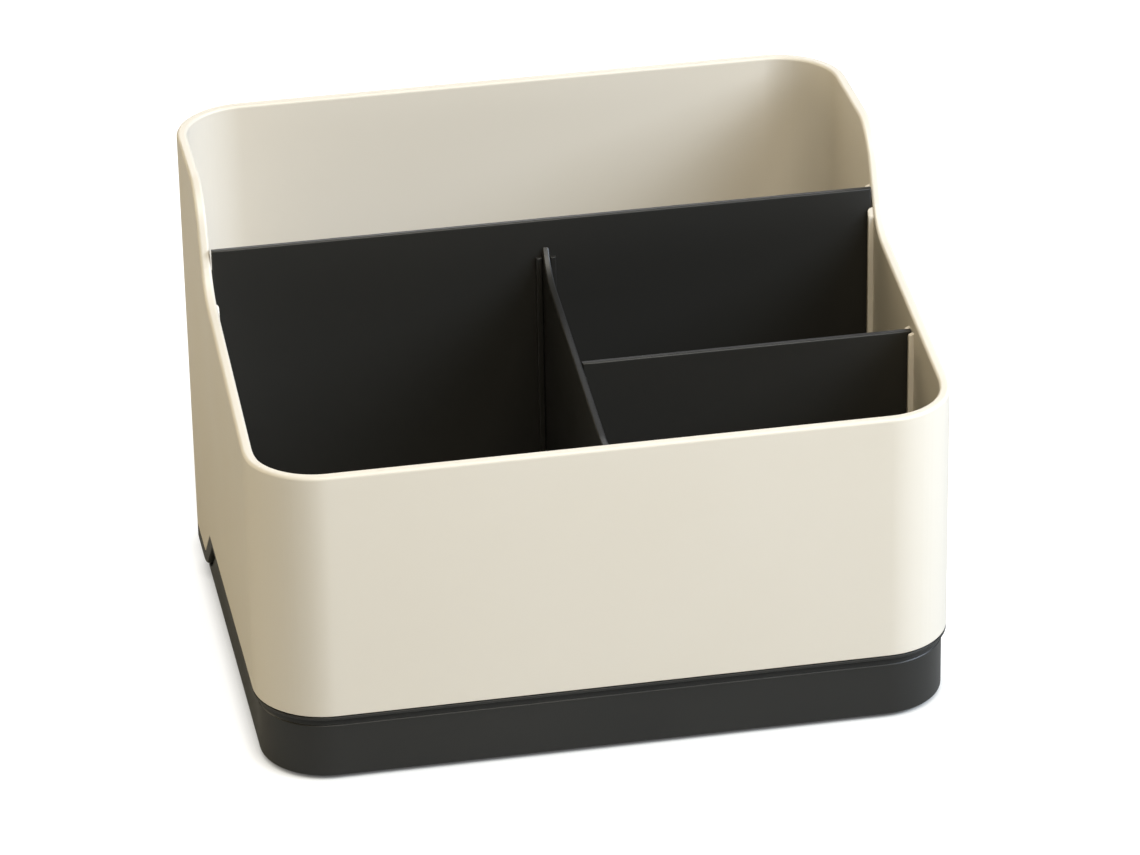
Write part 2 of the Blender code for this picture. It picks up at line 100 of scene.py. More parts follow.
# Studio.
# The last of these is how far the painted contact shadow in the floor's glow reaches.
FLOOR_REACH, FLOOR_GLOW, PAINTED_SHADOW_REACH = 6.0, 0.84, 5 * MM
FLOOR_TONE = (0.42, 0.42, 0.41, 1)
WHITE = (1, 1, 1, 1)
LIGHT_REACH = 1.5
LIGHT_TARGET = (0, 0, 0.06)


# Settings a user would change.

def length(name, value, description):
    """A length property in metres, from a value in millimetres."""
    return bpy.props.FloatProperty(
        name=name, description=description, default=value * MM, min=0, precision=5, unit="LENGTH")


def number(name, value, description, low=0.0, high=1.0):
    """A plain number property."""
    return bpy.props.FloatProperty(
        name=name, description=description, default=value, min=low, max=high, precision=3)


def colour(name, value, description):
    """A colour property."""
    return bpy.props.FloatVectorProperty(
        name=name, description=description, default=value, size=3, min=0, max=1, subtype="COLOR")


class ShellSizes(bpy.types.PropertyGroup):
    """Sizes of the cream shell."""
    corner: length("Corner radius", 21, "Plan radius of the four upright corners")
    wall: length("Wall", 3, "Thickness of the wall")
    front_height: length("Front height", 96, "Height of the rim along the front")
    run_start: length("Run start", 14, "Depth at which the rim starts to climb")
    run_slope: number("Run slope", 0.16, "Climb of the rim along the front part of the sides")
    rise_foot: length("Rise foot", 95, "Depth at which the steep part of the rim starts")
    rise_top: length("Rise top", 108, "Depth at which the rim reaches its full height")
    rise_round: length("Rise rounding", 16, "Radius of the bends in the rim, seen from the side")
    front_edge: length("Front edge", 21, "Height of the lower edge over the tray")
    rear_edge: length("Rear edge", 8.5, "Height of the lower edge over the rear pan")
    step_top: length("Step top", 114, "Depth at which the lower edge starts down")
    step_foot: length("Step foot", 128, "Depth at which the lower edge has come down")
    step_round: length("Step rounding", 1.2, "Radius of the two bends in the lower edge")
    rim_outer: length("Rim outer rounding", 1.0, "Radius of the rim's outer edge")
    rim_inner: length("Rim inner rounding", 0.9, "Radius of the rim's inner edge")
    lower_round: length("Lower rounding", 0.3, "Radius of the lower edge")
    rib_width: length("Rib width", 1.6, "Width of the ribs that hold the dividers")
    rib_reach: length("Rib reach", 1.5, "How far those ribs stand off the wall")
    boss_radius: length("Boss radius", 4.4, "Radius of the screw bosses in the corners")
    boss_inset: length("Boss inset", 14.6, "Distance from a corner's centre to its boss")
    boss_height: length("Boss height", 8, "Height of the screw bosses")


class DividerSizes(bpy.types.PropertyGroup):
    """Sizes and places of the three lift-out dividers."""
    thickness: length("Thickness", 2, "Thickness of every divider")
    drop: length("Drop", 3.9, "How far the dividers' tops lie under the rim")
    bottom: length("Bottom", 23.3, "Height of the dividers' lower edges")
    rear_front: length("Rear divider", 98.5, "Depth of the rear divider's front face")
    rear_top: length("Rear divider top", 120.5, "Height of the rear divider's top")
    cross_front: length("Cross divider", 49.5, "Depth of the cross divider's front face")
    keeper_reach: length("Keeper reach", 1.2, "How far the keeper ribs stand off a divider")
    edge_round: length("Edge rounding", 0.5, "Radius of the dividers' edges")


class FloorSizes(bpy.types.PropertyGroup):
    """Sizes of the dark stepped floor."""
    deck_under: length("Deck underside", 19.8, "Height of the deck's underside")
    deck_top: length("Deck top", 23, "Height of the deck's top")
    pan_under: length("Pan underside", 3.6, "Height of the rear pan's underside")
    pan_top: length("Pan top", 5.6, "Height of the rear pan's top")
    riser_depth: length("Riser depth", 4.2, "How far the riser's underside lies below the step")
    riser_wall: length("Riser wall", 2.2, "Thickness of the riser")
    riser_round: length("Riser rounding", 16, "Radius of the bend between riser and pan")
    plug_wall: length("Plug wall", 1.8, "Thickness of the upstand inside the shell")
    plug_rise: length("Plug rise", 2, "How far the upstand reaches up into the shell")
    seam: length("Seam", 0.3, "Gap between the floor and the shell")


class TraySizes(bpy.types.PropertyGroup):
    """Sizes of the pull-out tray."""
    inset: length("Inset", 1.3, "How far the tray lies inside the shell's outline")
    under: length("Underside", 1, "Height of the tray's underside")
    top: length("Top", 19.5, "Height of the tray's top edge")
    wall: length("Wall", 2.2, "Thickness of the tray's walls")
    base: length("Base", 1.8, "Thickness of the tray's bottom")
    back: length("Back wall", 106, "Depth of the back wall's front face")
    back_top: length("Back wall top", 14.5, "Height of the back wall")
    tongue_end: length("Tongue end", 137, "Depth at which the tongue ends")
    tongue_round: length("Tongue rounding", 6, "Plan radius of the tongue's corners")
    lip: length("Lip", 3.1, "Reach of the lips that ride on the runners")
    lip_thickness: length("Lip thickness", 1.6, "Thickness of those lips")
    lead: length("Lead", 0.2, "How far the top band leans inwards")
    band: length("Band", 1.9, "Height of the leaning band under the top edge")
    groove: length("Groove", 0.25, "Depth of the line under the band")
    foot_round: length("Foot rounding", 1.0, "Radius of the tray's lower edge")


class HardwareSizes(bpy.types.PropertyGroup):
    """Sizes of runners, stop, screws, feet and glides."""
    runner_start: length("Runner start", 18, "Depth of the runners' front ends")
    runner_end: length("Runner end", 102, "Depth of the runners' rear ends")
    runner_thickness: length("Runner thickness", 1.6, "Thickness of runners and stop")
    runner_foot: length("Runner foot", 15.5, "Height of the ledge that carries the tray")
    runner_web: length("Runner web", 92.5, "Outer face of the runner's web")
    runner_reach: length("Runner reach", 95.6, "Outer edge of the runner's ledge")
    runner_flange: length("Runner flange", 82.5, "Inner edge of the runner's flange")
    stop_width: length("Stop width", 20, "Width of the stop")
    stop_leg: length("Stop leg", 4, "Thickness of the stop's leg")
    stop_under: length("Stop underside", 12.5, "Height of the stop's lower end")
    screw_recess: length("Recess", 0.75, "Depth of the cross recess in a screw's head")
    thread_pitch: length("Thread pitch", 0.9, "Pitch of the screws' thread")
    edge_round: length("Edge rounding", 0.3, "Radius of the edges of runners and stop")


class Finishes(bpy.types.PropertyGroup):
    """Colours and textures of the plastics, rubber and steel."""
    cream: colour("Cream", (0.730, 0.668, 0.570), "Colour of the shell")
    cream_shade: colour("Cream shade", (0.722, 0.659, 0.558), "Deeper tone in the shell's colour")
    charcoal: colour("Charcoal", (0.0190, 0.0181, 0.0160), "Colour of floor, tray and dividers")
    charcoal_shade: colour("Charcoal shade", (0.0158, 0.0151, 0.0134), "Deeper charcoal tone")
    slide_grey: colour("Slide grey", (0.16, 0.16, 0.15), "Colour of runners, stop and glides")
    rubber: colour("Rubber", (0.028, 0.028, 0.028), "Colour of the feet")
    steel: colour("Steel", (0.56, 0.56, 0.54), "Colour of the screws")
    grain: length("Grain", 0.35, "Size of the moulded grain")


class Studio(bpy.types.PropertyGroup):
    """Camera and lights."""
    azimuth: number("Azimuth", -10.355, "Camera's turn round the object in degrees", -180, 180)
    elevation: number("Elevation", 27.015, "Camera's height angle in degrees", -90, 90)
    roll: number("Roll", -1.094, "Camera's tilt about its own axis in degrees", -90, 90)
    distance: length("Distance", 1529.9, "Distance from the camera to the foot of the front face")
    lens: number("Lens", 171.22, "Focal length in millimetres", 1, 500)
    aim_side: length("Aim side", 13.297, "How far the view's middle lies left of that foot")
    aim_rise: length("Aim rise", 90.318, "How far the view's middle lies above that foot")
    surround: number("Surround", 0.01, "Strength of the pale surround", 0, 10)
    exposure: number("Exposure", 1.0, "Overall strength of the studio lights", 0, 10)


class OrganizerSettings(bpy.types.PropertyGroup):
    """All settings of the desk organizer."""
    shell: bpy.props.PointerProperty(type=ShellSizes, name="Shell", description="The shell")
    divider: bpy.props.PointerProperty(
        type=DividerSizes, name="Dividers", description="The dividers")
    floor: bpy.props.PointerProperty(type=FloorSizes, name="Floor", description="The floor")
    tray: bpy.props.PointerProperty(type=TraySizes, name="Tray", description="The tray")
    hardware: bpy.props.PointerProperty(
        type=HardwareSizes, name="Hardware", description="Runners, stop, screws and feet")
    finish: bpy.props.PointerProperty(type=Finishes, name="Finishes", description="The finishes")
    studio: bpy.props.PointerProperty(type=Studio, name="Studio", description="The studio")


# Profiles seen from the side, as arrays of (depth, height).

def bent_path(corners, steps=FILLET_STEPS):
    """Straight runs joined by arcs: at a corner with half-angle h between its two sides, the arc's
    centre lies radius / sin(h) out along the bisector, and the arc touches both sides."""
    points = [np.array([corners[0][:2]])]
    share = np.linspace(0, 1, steps + 1)[:, None]
    for before, corner, after in zip(corners, corners[1:], corners[2:]):
        place = np.array(corner[:2])
        back = np.array(before[:2]) - place
        back = back / np.linalg.norm(back)
        ahead = np.array(after[:2]) - place
        ahead = ahead / np.linalg.norm(ahead)
        half = math.acos(float(np.clip(back @ ahead, -1, 1))) / 2
        middle = (back + ahead) / np.linalg.norm(back + ahead)
        centre = place + middle * corner[2] / math.sin(half)
        reach = corner[2] / math.tan(half)
        chord = (place + back * reach - centre) * (1 - share)
        chord = chord + (place + ahead * reach - centre) * share
        spoke = chord / np.maximum(np.linalg.norm(chord, axis=1, keepdims=True), 1e-12)
        points.append(centre + spoke * corner[2])
    points.append(np.array([corners[-1][:2]]))
    return np.concatenate(points)


def rim_line(shell):
    """The rim from the side: level front, gentle run, steep rise and level back, bends rounded."""
    foot = shell.front_height + shell.run_slope * (shell.rise_foot - shell.run_start)
    turn = shell.rise_round
    return bent_path([
        (-DEPTH, shell.front_height, 0), (shell.run_start, shell.front_height, turn),
        (shell.rise_foot, foot, turn), (shell.rise_top, HEIGHT, turn), (2 * DEPTH, HEIGHT, 0)])


def step_line(shell, offset, front, rear, top_round, foot_round, start, end):
    """A line parallel to the shell's slanted step at an offset below it, between two levels. It
    runs from depth start to depth end, and every such line has the same number of points."""
    along = np.array([shell.step_foot - shell.step_top, shell.rear_edge - shell.front_edge])
    along = along / np.linalg.norm(along)
    anchor = np.array([shell.step_top, shell.front_edge]) + offset * np.array([along[1], -along[0]])
    upper = anchor + along * (front - anchor[1]) / along[1]
    lower = anchor + along * (rear - anchor[1]) / along[1]
    bends = bent_path([
        (start, front, 0), (upper[0], front, top_round), (lower[0], rear, foot_round),
        (end, rear, 0)])
    ahead = np.linspace(start, bends[1, 0], 24, endpoint=False)
    behind = np.linspace(bends[-2, 0], end, 10)[1:]
    ahead = np.stack([ahead, np.full(len(ahead), front)], 1)
    behind = np.stack([behind, np.full(len(behind), rear)], 1)
    return np.concatenate([ahead, bends[1:-1], behind])


# Surfaces.

def grid_faces(rows, columns, closed_rows, closed_columns):
    """Quads of a grid of rows by columns, wrapped round where an edge meets its opposite."""
    index = np.arange(rows * columns).reshape(rows, columns)
    if closed_rows:
        index = np.concatenate([index, index[:1]])
    if closed_columns:
        index = np.concatenate([index, index[:, :1]], axis=1)
    return np.stack(
        [index[:-1, :-1], index[:-1, 1:], index[1:, 1:], index[1:, :-1]], axis=2).reshape(-1, 4)


def in_scene(name, data):
    """A new object with its data, linked to the scene."""
    thing = bpy.data.objects.new(name, data)
    bpy.context.scene.collection.objects.link(thing)
    return thing


def make_piece(name, patches):
    """One object from patches, each a (rows, columns, 3) array of (x, depth, height) with its two
    wrap flags. Touching patches are welded, collapsed faces go, and faces are turned outwards."""
    points = []
    faces = []
    start = 0
    for grid, closed_rows, closed_columns in patches:
        rows, columns = grid.shape[:2]
        points.append(grid.reshape(-1, 3))
        faces.append(grid_faces(rows, columns, closed_rows, closed_columns) + start)
        start += rows * columns
    points = np.concatenate(points) + np.array([0, FRONT_Y, 0])
    mesh = bpy.data.meshes.new(name)
    mesh.from_pydata(points.tolist(), [], np.concatenate(faces).tolist())
    shape = bmesh.new()
    shape.from_mesh(mesh)
    bmesh.ops.remove_doubles(shape, verts=shape.verts, dist=WELD)
    bmesh.ops.dissolve_degenerate(shape, edges=shape.edges, dist=0.1 * WELD)
    bmesh.ops.recalc_face_normals(shape, faces=shape.faces)
    shape.to_mesh(mesh)
    shape.free()
    return in_scene(name, mesh)


def combine(piece, tools, operation):
    """Joins tools to a piece or cuts them from it, and keeps the result as the piece's mesh."""
    for tool in tools:
        modifier = piece.modifiers.new(tool.name, "BOOLEAN")
        modifier.operation = operation
        modifier.solver = "EXACT"
        modifier.object = tool
    bpy.context.view_layer.update()
    result = bpy.data.meshes.new_from_object(
        piece.evaluated_get(bpy.context.evaluated_depsgraph_get()))
    piece.modifiers.clear()
    piece.data = result
    for tool in tools:
        bpy.data.objects.remove(tool)
    return piece


def dress(piece, body, node, material):
    """Shades a finished piece, gives it its material and puts it in its CAD node's place."""
    piece.data.polygons.foreach_set("use_smooth", np.ones(len(piece.data.polygons), bool))
    piece.data.set_sharp_from_angle(angle=SHARP_ANGLE)
    piece.data.materials.clear()
    piece.data.materials.append(material)
    even = piece.modifiers.new("even shading", "WEIGHTED_NORMAL")
    even.keep_sharp = True
    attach(piece, body)
    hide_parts(node)
    return piece


def plan_columns(half, front, back, front_round, back_round, depths, across, turns=None):
    """Plan outline as columns: a place (x, depth) and the outward direction there. The columns run
    up the right side, back along the rear edge, down the left side and along the front edge."""
    turns = np.linspace(0, math.pi / 2, CORNER_COLUMNS + 1) if turns is None else turns
    sine, cosine = np.sin(turns), np.cos(turns)
    right = np.concatenate([
        np.stack([half - front_round + front_round * sine,
                  front + front_round - front_round * cosine], 1),
        np.stack([np.full(len(depths), half), depths], 1),
        np.stack([half - back_round + back_round * cosine,
                  back - back_round + back_round * sine], 1)])
    facing = np.concatenate([
        np.stack([sine, -cosine], 1), np.tile([1.0, 0.0], (len(depths), 1)),
        np.stack([cosine, sine], 1)])
    flip = np.array([-1.0, 1.0])
    rear = np.stack([(half - back_round) * -across, np.full(len(across), back)], 1)
    near = np.stack([(half - front_round) * across, np.full(len(across), front)], 1)
    places = np.concatenate([right, rear, (right * flip)[::-1], near])
    directions = np.concatenate([
        facing, np.tile([0.0, 1.0], (len(across), 1)), (facing * flip)[::-1],
        np.tile([0.0, -1.0], (len(across), 1))])
    return places, directions


def round_plan(values, front, rear, across):
    """Values along a side, carried round the corners, the rear edge and the front edge."""
    turns = CORNER_COLUMNS + 1
    side = np.concatenate([np.full(turns, front), values, np.full(turns, rear)])
    return np.concatenate([
        side, np.full(len(across), rear), side[::-1], np.full(len(across), front)])


def inset_ring(place, facing, inset, height):
    """A ring of columns, each moved in from the outline by its inset, at its height."""
    inset = np.broadcast_to(inset, len(place))
    height = np.broadcast_to(height, len(place))
    return np.column_stack([place - facing * inset[:, None], height])


def side_slices(columns, across):
    """Which columns are the right side and which the left, from front to back."""
    side = (columns - 2 * across) // 2
    return np.arange(side), np.arange(columns - across - 1, columns - across - 1 - side, -1)


def lid(ring, across):
    """Surface that closes a ring: straight rows from its left side to its right side."""
    right, left = side_slices(len(ring), len(across))
    share = (np.concatenate([[-1.0], across, [1.0]]) + 1) / 2
    share = share[None, :, None]
    return ring[left][:, None] * (1 - share) + ring[right][:, None] * share


def quarter(radius, steps=ARC_STEPS):
    """Quarter circle of a radius as (across, along), from its first tangent to its second."""
    angle = np.linspace(0, math.pi / 2, steps + 1)
    return [(radius * (1 - math.cos(a)), radius * math.sin(a)) for a in angle]


def lathe(name, profile, place, steps=TURN_STEPS):
    """Surface of revolution: (radius, height) carried round an upright axis at (x, depth)."""
    profile = np.array(profile)
    angle = np.linspace(0, 2 * math.pi, steps, endpoint=False)
    ring = np.stack([np.cos(angle), np.sin(angle), np.zeros(steps)], 1)
    grid = profile[:, 0, None, None] * ring[None] + np.array([place[0], place[1], 0])
    grid[:, :, 2] = profile[:, 1, None]
    return make_piece(name, [(grid, False, True)])


def middle_of(low, high):
    """A box's middle seen from above, as (x, depth)."""
    return (low.x + high.x) / 2, (low.y + high.y) / 2 - FRONT_Y


def seat_cutter(low, high):
    """Cutter for the round seat of a foot or glide, with room all round."""
    radius, top = (high.x - low.x) / 2 + CLEARANCE, high.z + CLEARANCE
    return lathe("seat", [(0, top), (radius, top), (radius, 0), (0, 0)], middle_of(low, high))


def pilot_cutter(low, high):
    """Cutter for the plain hole of a small screw."""
    return lathe("hole", [(0, PILOT_TOP), (PILOT_HOLE, PILOT_TOP), (PILOT_HOLE, 0), (0, 0)],
                 middle_of(low, high))


def plate(name, low, high, thickness, height_of, bottom, turn, rounding, stations):
    """Upright plate with rounded edges. In its own plane it runs from low to high, from the bottom
    up to height_of(run); across its thickness, a quarter circle pulls its outline in at each face.
    turn puts (run, across, height) into (x, depth, height)."""
    share = np.concatenate([[0.0], stations, [1.0]])
    rows = np.linspace(0, 1, 12)[:, None]
    loops = []
    for side in (-1, 1):
        arc = [(inset, side * (thickness / 2 - rounding + along))
               for inset, along in quarter(rounding)]
        loops += arc[::side]
    rings = []
    faces = []
    for inset, across in loops:
        run = low + inset + share * (high - low - 2 * inset)
        slope = (height_of(run + NUDGE) - height_of(run - NUDGE)) / (2 * NUDGE)
        top = height_of(run) - inset * np.sqrt(1 + slope ** 2)
        face = np.stack([
            np.broadcast_to(run, (len(rows), len(run))),
            np.full((len(rows), len(run)), across),
            (bottom + inset) * (1 - rows) + top * rows], 2)
        faces.append(face)
        rings.append(np.concatenate([
            face[0], face[1:, -1], face[-1, -2::-1], face[-2:0:-1, 0]]))
    patches = [(faces[0], False, False), (faces[-1], False, False), (np.array(rings), False, True)]
    return make_piece(name, [(turn(grid), *flags) for grid, *flags in patches])


def across_width(centre):
    """A plate that runs along x, with its thickness about a depth."""
    return lambda grid: grid + np.array([0, centre, 0])


def along_depth(centre):
    """A plate that runs along the depth, with its thickness about an x."""
    return lambda grid: grid[..., [1, 0, 2]] + np.array([centre, 0, 0])


def level(height):
    """A flat top."""
    return lambda run: np.full(np.shape(run), height)


# Shell.

def bump(values, low, high):
    """One between low and high and nothing outside, with narrow rounded flanks."""
    return np.interp(values, bump_stations(low, high), [0, 0.06, 0.8, 1, 1, 0.8, 0.06, 0])


def bump_stations(low, high):
    """Places where a bump's cross-section bends."""
    return [low - 0.12 * MM, low - 0.02 * MM, low + 0.03 * MM, low + 0.22 * MM,
            high - 0.22 * MM, high - 0.03 * MM, high + 0.02 * MM, high + 0.12 * MM]


def slot_pairs(front, thickness, seam, width):
    """Where the two ribs beside a divider lie, as (low, high) pairs."""
    back = front + thickness + seam
    return [(front - seam - width, front - seam), (back, back + width)]


def boss_bulge(turn, shell):
    """How far a boss stands in from the wall at an angle in a corner: the near side of a circle
    seen from the corner's centre, less the wall's own radius."""
    off = turn - math.pi / 4
    inside = shell.boss_radius ** 2 - (shell.boss_inset * np.sin(off)) ** 2
    near = shell.boss_inset * np.cos(off) - np.sqrt(np.maximum(inside, 0))
    return np.where(inside > 0, shell.corner - shell.wall - near, 0)


def shell_surface(shell, divider, seam):
    """The shell as one closed grid: a wall section carried round the plan outline. Along the rim
    the rounding is measured square to its slope. Ribs and bosses swell from the inner face."""
    rim = rim_line(shell)
    lower = step_line(shell, 0, shell.front_edge, shell.rear_edge, shell.step_round,
                      shell.step_round, shell.corner, DEPTH - shell.corner)
    rear_ribs = slot_pairs(divider.rear_front, divider.thickness, seam, shell.rib_width)
    cross_ribs = slot_pairs(divider.cross_front, divider.thickness, seam, shell.rib_width)
    front_ribs = [(divider.thickness / 2 + seam, divider.thickness / 2 + seam + shell.rib_width)]
    stations = [lower[:, 0], np.arange(shell.corner, DEPTH - shell.corner, 2 * MM),
                np.arange(STEEP_FROM, STEEP_TO, 1 * MM)]
    stations += [bump_stations(*pair) for pair in rear_ribs + cross_ribs]
    depths = np.unique(np.round(np.concatenate(stations), 6))
    straight = DEPTH / 2 - shell.corner - 0.1 * MM
    depths = depths[np.abs(depths - DEPTH / 2) < straight]
    span = WIDTH / 2 - shell.corner
    across = np.concatenate([np.linspace(-0.95, 0.95, 26)] + [
        np.array(bump_stations(*pair)) / span * side for pair in front_ribs for side in (-1, 1)])
    across = np.unique(across)
    edge = math.asin(shell.boss_radius / shell.boss_inset)
    shares = np.array([0, 0.4, 0.65, 0.8, 0.9, 0.95, 0.985, 0.999, 1.015])
    turns = np.unique(np.concatenate([
        np.linspace(0, math.pi / 2, CORNER_COLUMNS + 1),
        math.pi / 4 - edge * shares, math.pi / 4 + edge * shares]))
    place, facing = plan_columns(
        WIDTH / 2, 0, DEPTH, shell.corner, shell.corner, depths, across, turns)
    depth = place[:, 1]
    high = np.interp(depth, rim[:, 0], rim[:, 1])
    low = np.interp(depth, lower[:, 0], lower[:, 1])
    heading = np.stack([-facing[:, 1], facing[:, 0]], 1)
    slope = (np.interp(depth + NUDGE, rim[:, 0], rim[:, 1])
             - np.interp(depth - NUDGE, rim[:, 0], rim[:, 1])) / (2 * NUDGE) * heading[:, 1]
    tilt = slope / np.sqrt(1 + slope ** 2)
    upright = 1 / np.sqrt(1 + slope ** 2)
    side = np.abs(facing[:, 0]) > 0.999
    on_right = side & (facing[:, 0] > 0)
    side_ribs = sum(bump(depth, *pair) for pair in rear_ribs) * side
    side_ribs = side_ribs + sum(bump(depth, *pair) for pair in cross_ribs) * on_right
    front_swell = sum(bump(np.abs(place[:, 0]), *pair) for pair in front_ribs)
    front_swell = front_swell * (facing[:, 1] < -0.999)
    turn = np.arctan2(np.abs(facing[:, 0]), np.abs(facing[:, 1]))
    bosses = boss_bulge(turn, shell) * (np.abs(facing[:, 0] * facing[:, 1]) > 1e-6)

    # Each rib ends below the divider beside it, and lower still on the left.
    cross_top = np.interp(divider.cross_front, rim[:, 0], rim[:, 1]) - divider.drop
    beside = np.where(depth < 0.5 * (divider.cross_front + divider.rear_front), cross_top,
                      divider.rear_top)
    deepest = high - 3 * divider.drop
    rib_top = np.maximum(np.minimum(high - 1.2 * MM, beside - 0.4 * MM), deepest)
    rib_top = np.where(facing[:, 0] < -0.5, deepest, rib_top)
    front_top = 5 * divider.drop
    rib_low = divider.bottom + seam - shell.front_edge
    boss_low = divider.bottom - shell.front_edge
    boss_high = boss_low + shell.boss_height
    wall = shell.wall
    rows = []

    def at_rim(inset, drop):
        """Adds a ring that lies a drop under the rim, measured square to its slope."""
        moved = place - facing * inset + heading * (drop * tilt)[:, None]
        rows.append(np.column_stack([moved, high - drop * upright]))

    def at_height(inset, height):
        """Adds a ring inset from the outline."""
        rows.append(inset_ring(place, facing, inset, height))

    rounding = shell.lower_round
    for inset, rise in quarter(rounding):
        at_height(rounding - rise, low + inset)
    blend = np.linspace(0, 1, 10)
    for share in blend:
        at_height(0, (low + 1.5 * MM) * (1 - share) + (high - 5 * MM) * share)
    for inset, rise in quarter(shell.rim_outer):
        at_rim(inset, shell.rim_outer - rise)
    for inset, rise in quarter(shell.rim_inner)[::-1]:
        at_rim(wall - inset, shell.rim_inner - rise)
    for drop, rib in ((0.15, 0), (-0.05, 0.5), (-0.3, 0.9), (-0.6, 1)):
        at_height(wall + shell.rib_reach * rib * side_ribs, rib_top + drop * MM)
    for drop, front in ((0.35, 0), (0.05, 0.35), (-0.15, 0.8), (-0.4, 1)):
        swell = side_ribs + front * front_swell
        at_height(wall + shell.rib_reach * swell, high - front_top + drop * MM)
    ribs = wall + shell.rib_reach * (side_ribs + front_swell)
    for share in blend[1:]:
        at_height(ribs, (high - front_top - 1 * MM) * (1 - share)
                  + (low + boss_high + 1 * MM) * share)
    at_height(ribs, low + boss_high + 0.02 * MM)
    for inset, rise in quarter(0.3 * MM, 3):
        at_height(np.maximum(ribs, wall + bosses - 0.3 * MM + rise), low + boss_high - inset)
    at_height(np.maximum(ribs, wall + bosses), low + rib_low + 0.3 * MM)
    at_height(np.maximum(ribs, wall + bosses), low + rib_low)
    at_height(wall + bosses, low + rib_low - 0.02 * MM)
    at_height(wall + bosses, low + boss_low)
    at_height(wall, low + boss_low - 0.02 * MM)
    for inset, rise in quarter(rounding, 4)[::-1]:
        at_height(wall - rounding + rise, low + inset)
    return np.array(rows)


# Stepped floor.

def floor_surfaces(shell, floor):
    """The floor as rings from its underside out round the flange, up the upstand and down to the
    deck and pan, each ring a plan outline whose height follows its own line beside the step. Both
    ends are closed by lids of straight rows."""
    across = np.linspace(-1, 1, 26)[1:-1]

    def line(offset, front, rear, top_round=0.6 * MM, foot_round=0.6 * MM):
        """A line beside the shell's step, over the straight part of the sides."""
        return step_line(shell, offset, front, rear, top_round, foot_round, shell.corner,
                         DEPTH - shell.corner)

    def ring(inset, path, lift=0.0):
        """A ring inset from the outline, its heights taken from a line and lifted evenly."""
        radius = shell.corner
        place, facing = plan_columns(WIDTH / 2, 0, DEPTH, radius, radius, path[:, 0], across)
        heights = round_plan(path[:, 1], path[0, 1], path[-1, 1], across)
        return inset_ring(place, facing, inset, heights + lift)

    seam = floor.seam
    under = line(floor.riser_depth, floor.deck_under, floor.pan_under, 2 * MM, floor.riser_round)
    edge = line(seam, shell.front_edge - seam, shell.rear_edge - seam)
    plug_top = line(-floor.plug_rise, floor.deck_top, shell.rear_edge + floor.plug_rise)
    floor_top = line(floor.riser_depth - floor.riser_wall, floor.deck_top, floor.pan_top,
                     2 * MM, floor.riser_round - floor.riser_wall)
    plug = shell.wall + seam
    hollow = plug + floor.plug_wall
    thickness = ring(0, edge)[:, 2] - ring(0, under)[:, 2]
    foot = np.minimum(0.3 * thickness, 0.9 * MM)
    rings = [ring(2 * foot, under)]
    for inset, rise in quarter(1.0):
        rings.append(ring(foot * (1 - rise), under, foot * inset))
    shoulder = 0.18 * MM
    for inset, rise in quarter(shoulder, 3):
        rings.append(ring(inset, edge, rise - shoulder))
    rings.append(ring(plug, edge))
    tip = 0.4 * MM
    for inset, rise in quarter(tip, 4):
        rings.append(ring(plug + inset, plug_top, rise - tip))
    inner_top = np.column_stack([floor_top[:, 0], np.interp(floor_top[:, 0], *plug_top.T)])
    height = ring(0, inner_top)[:, 2] - ring(0, floor_top)[:, 2]
    lip = np.minimum(tip, 0.4 * np.maximum(height, 0))
    for inset, rise in quarter(1.0, 4)[::-1]:
        rings.append(ring(hollow - lip * inset, inner_top, lip * (rise - 1)))
    foot = np.minimum(1 * MM, 0.4 * np.maximum(height, 0))
    for inset, rise in quarter(1.0, 4):
        rings.append(ring(hollow + foot * inset, floor_top, foot * (1 - rise)))
    rings.append(ring(hollow + foot + 0.4 * MM, floor_top))
    return [(np.array(rings), False, True), (lid(rings[0], across), False, False),
            (lid(rings[-1], across), False, False)]


# Tray.

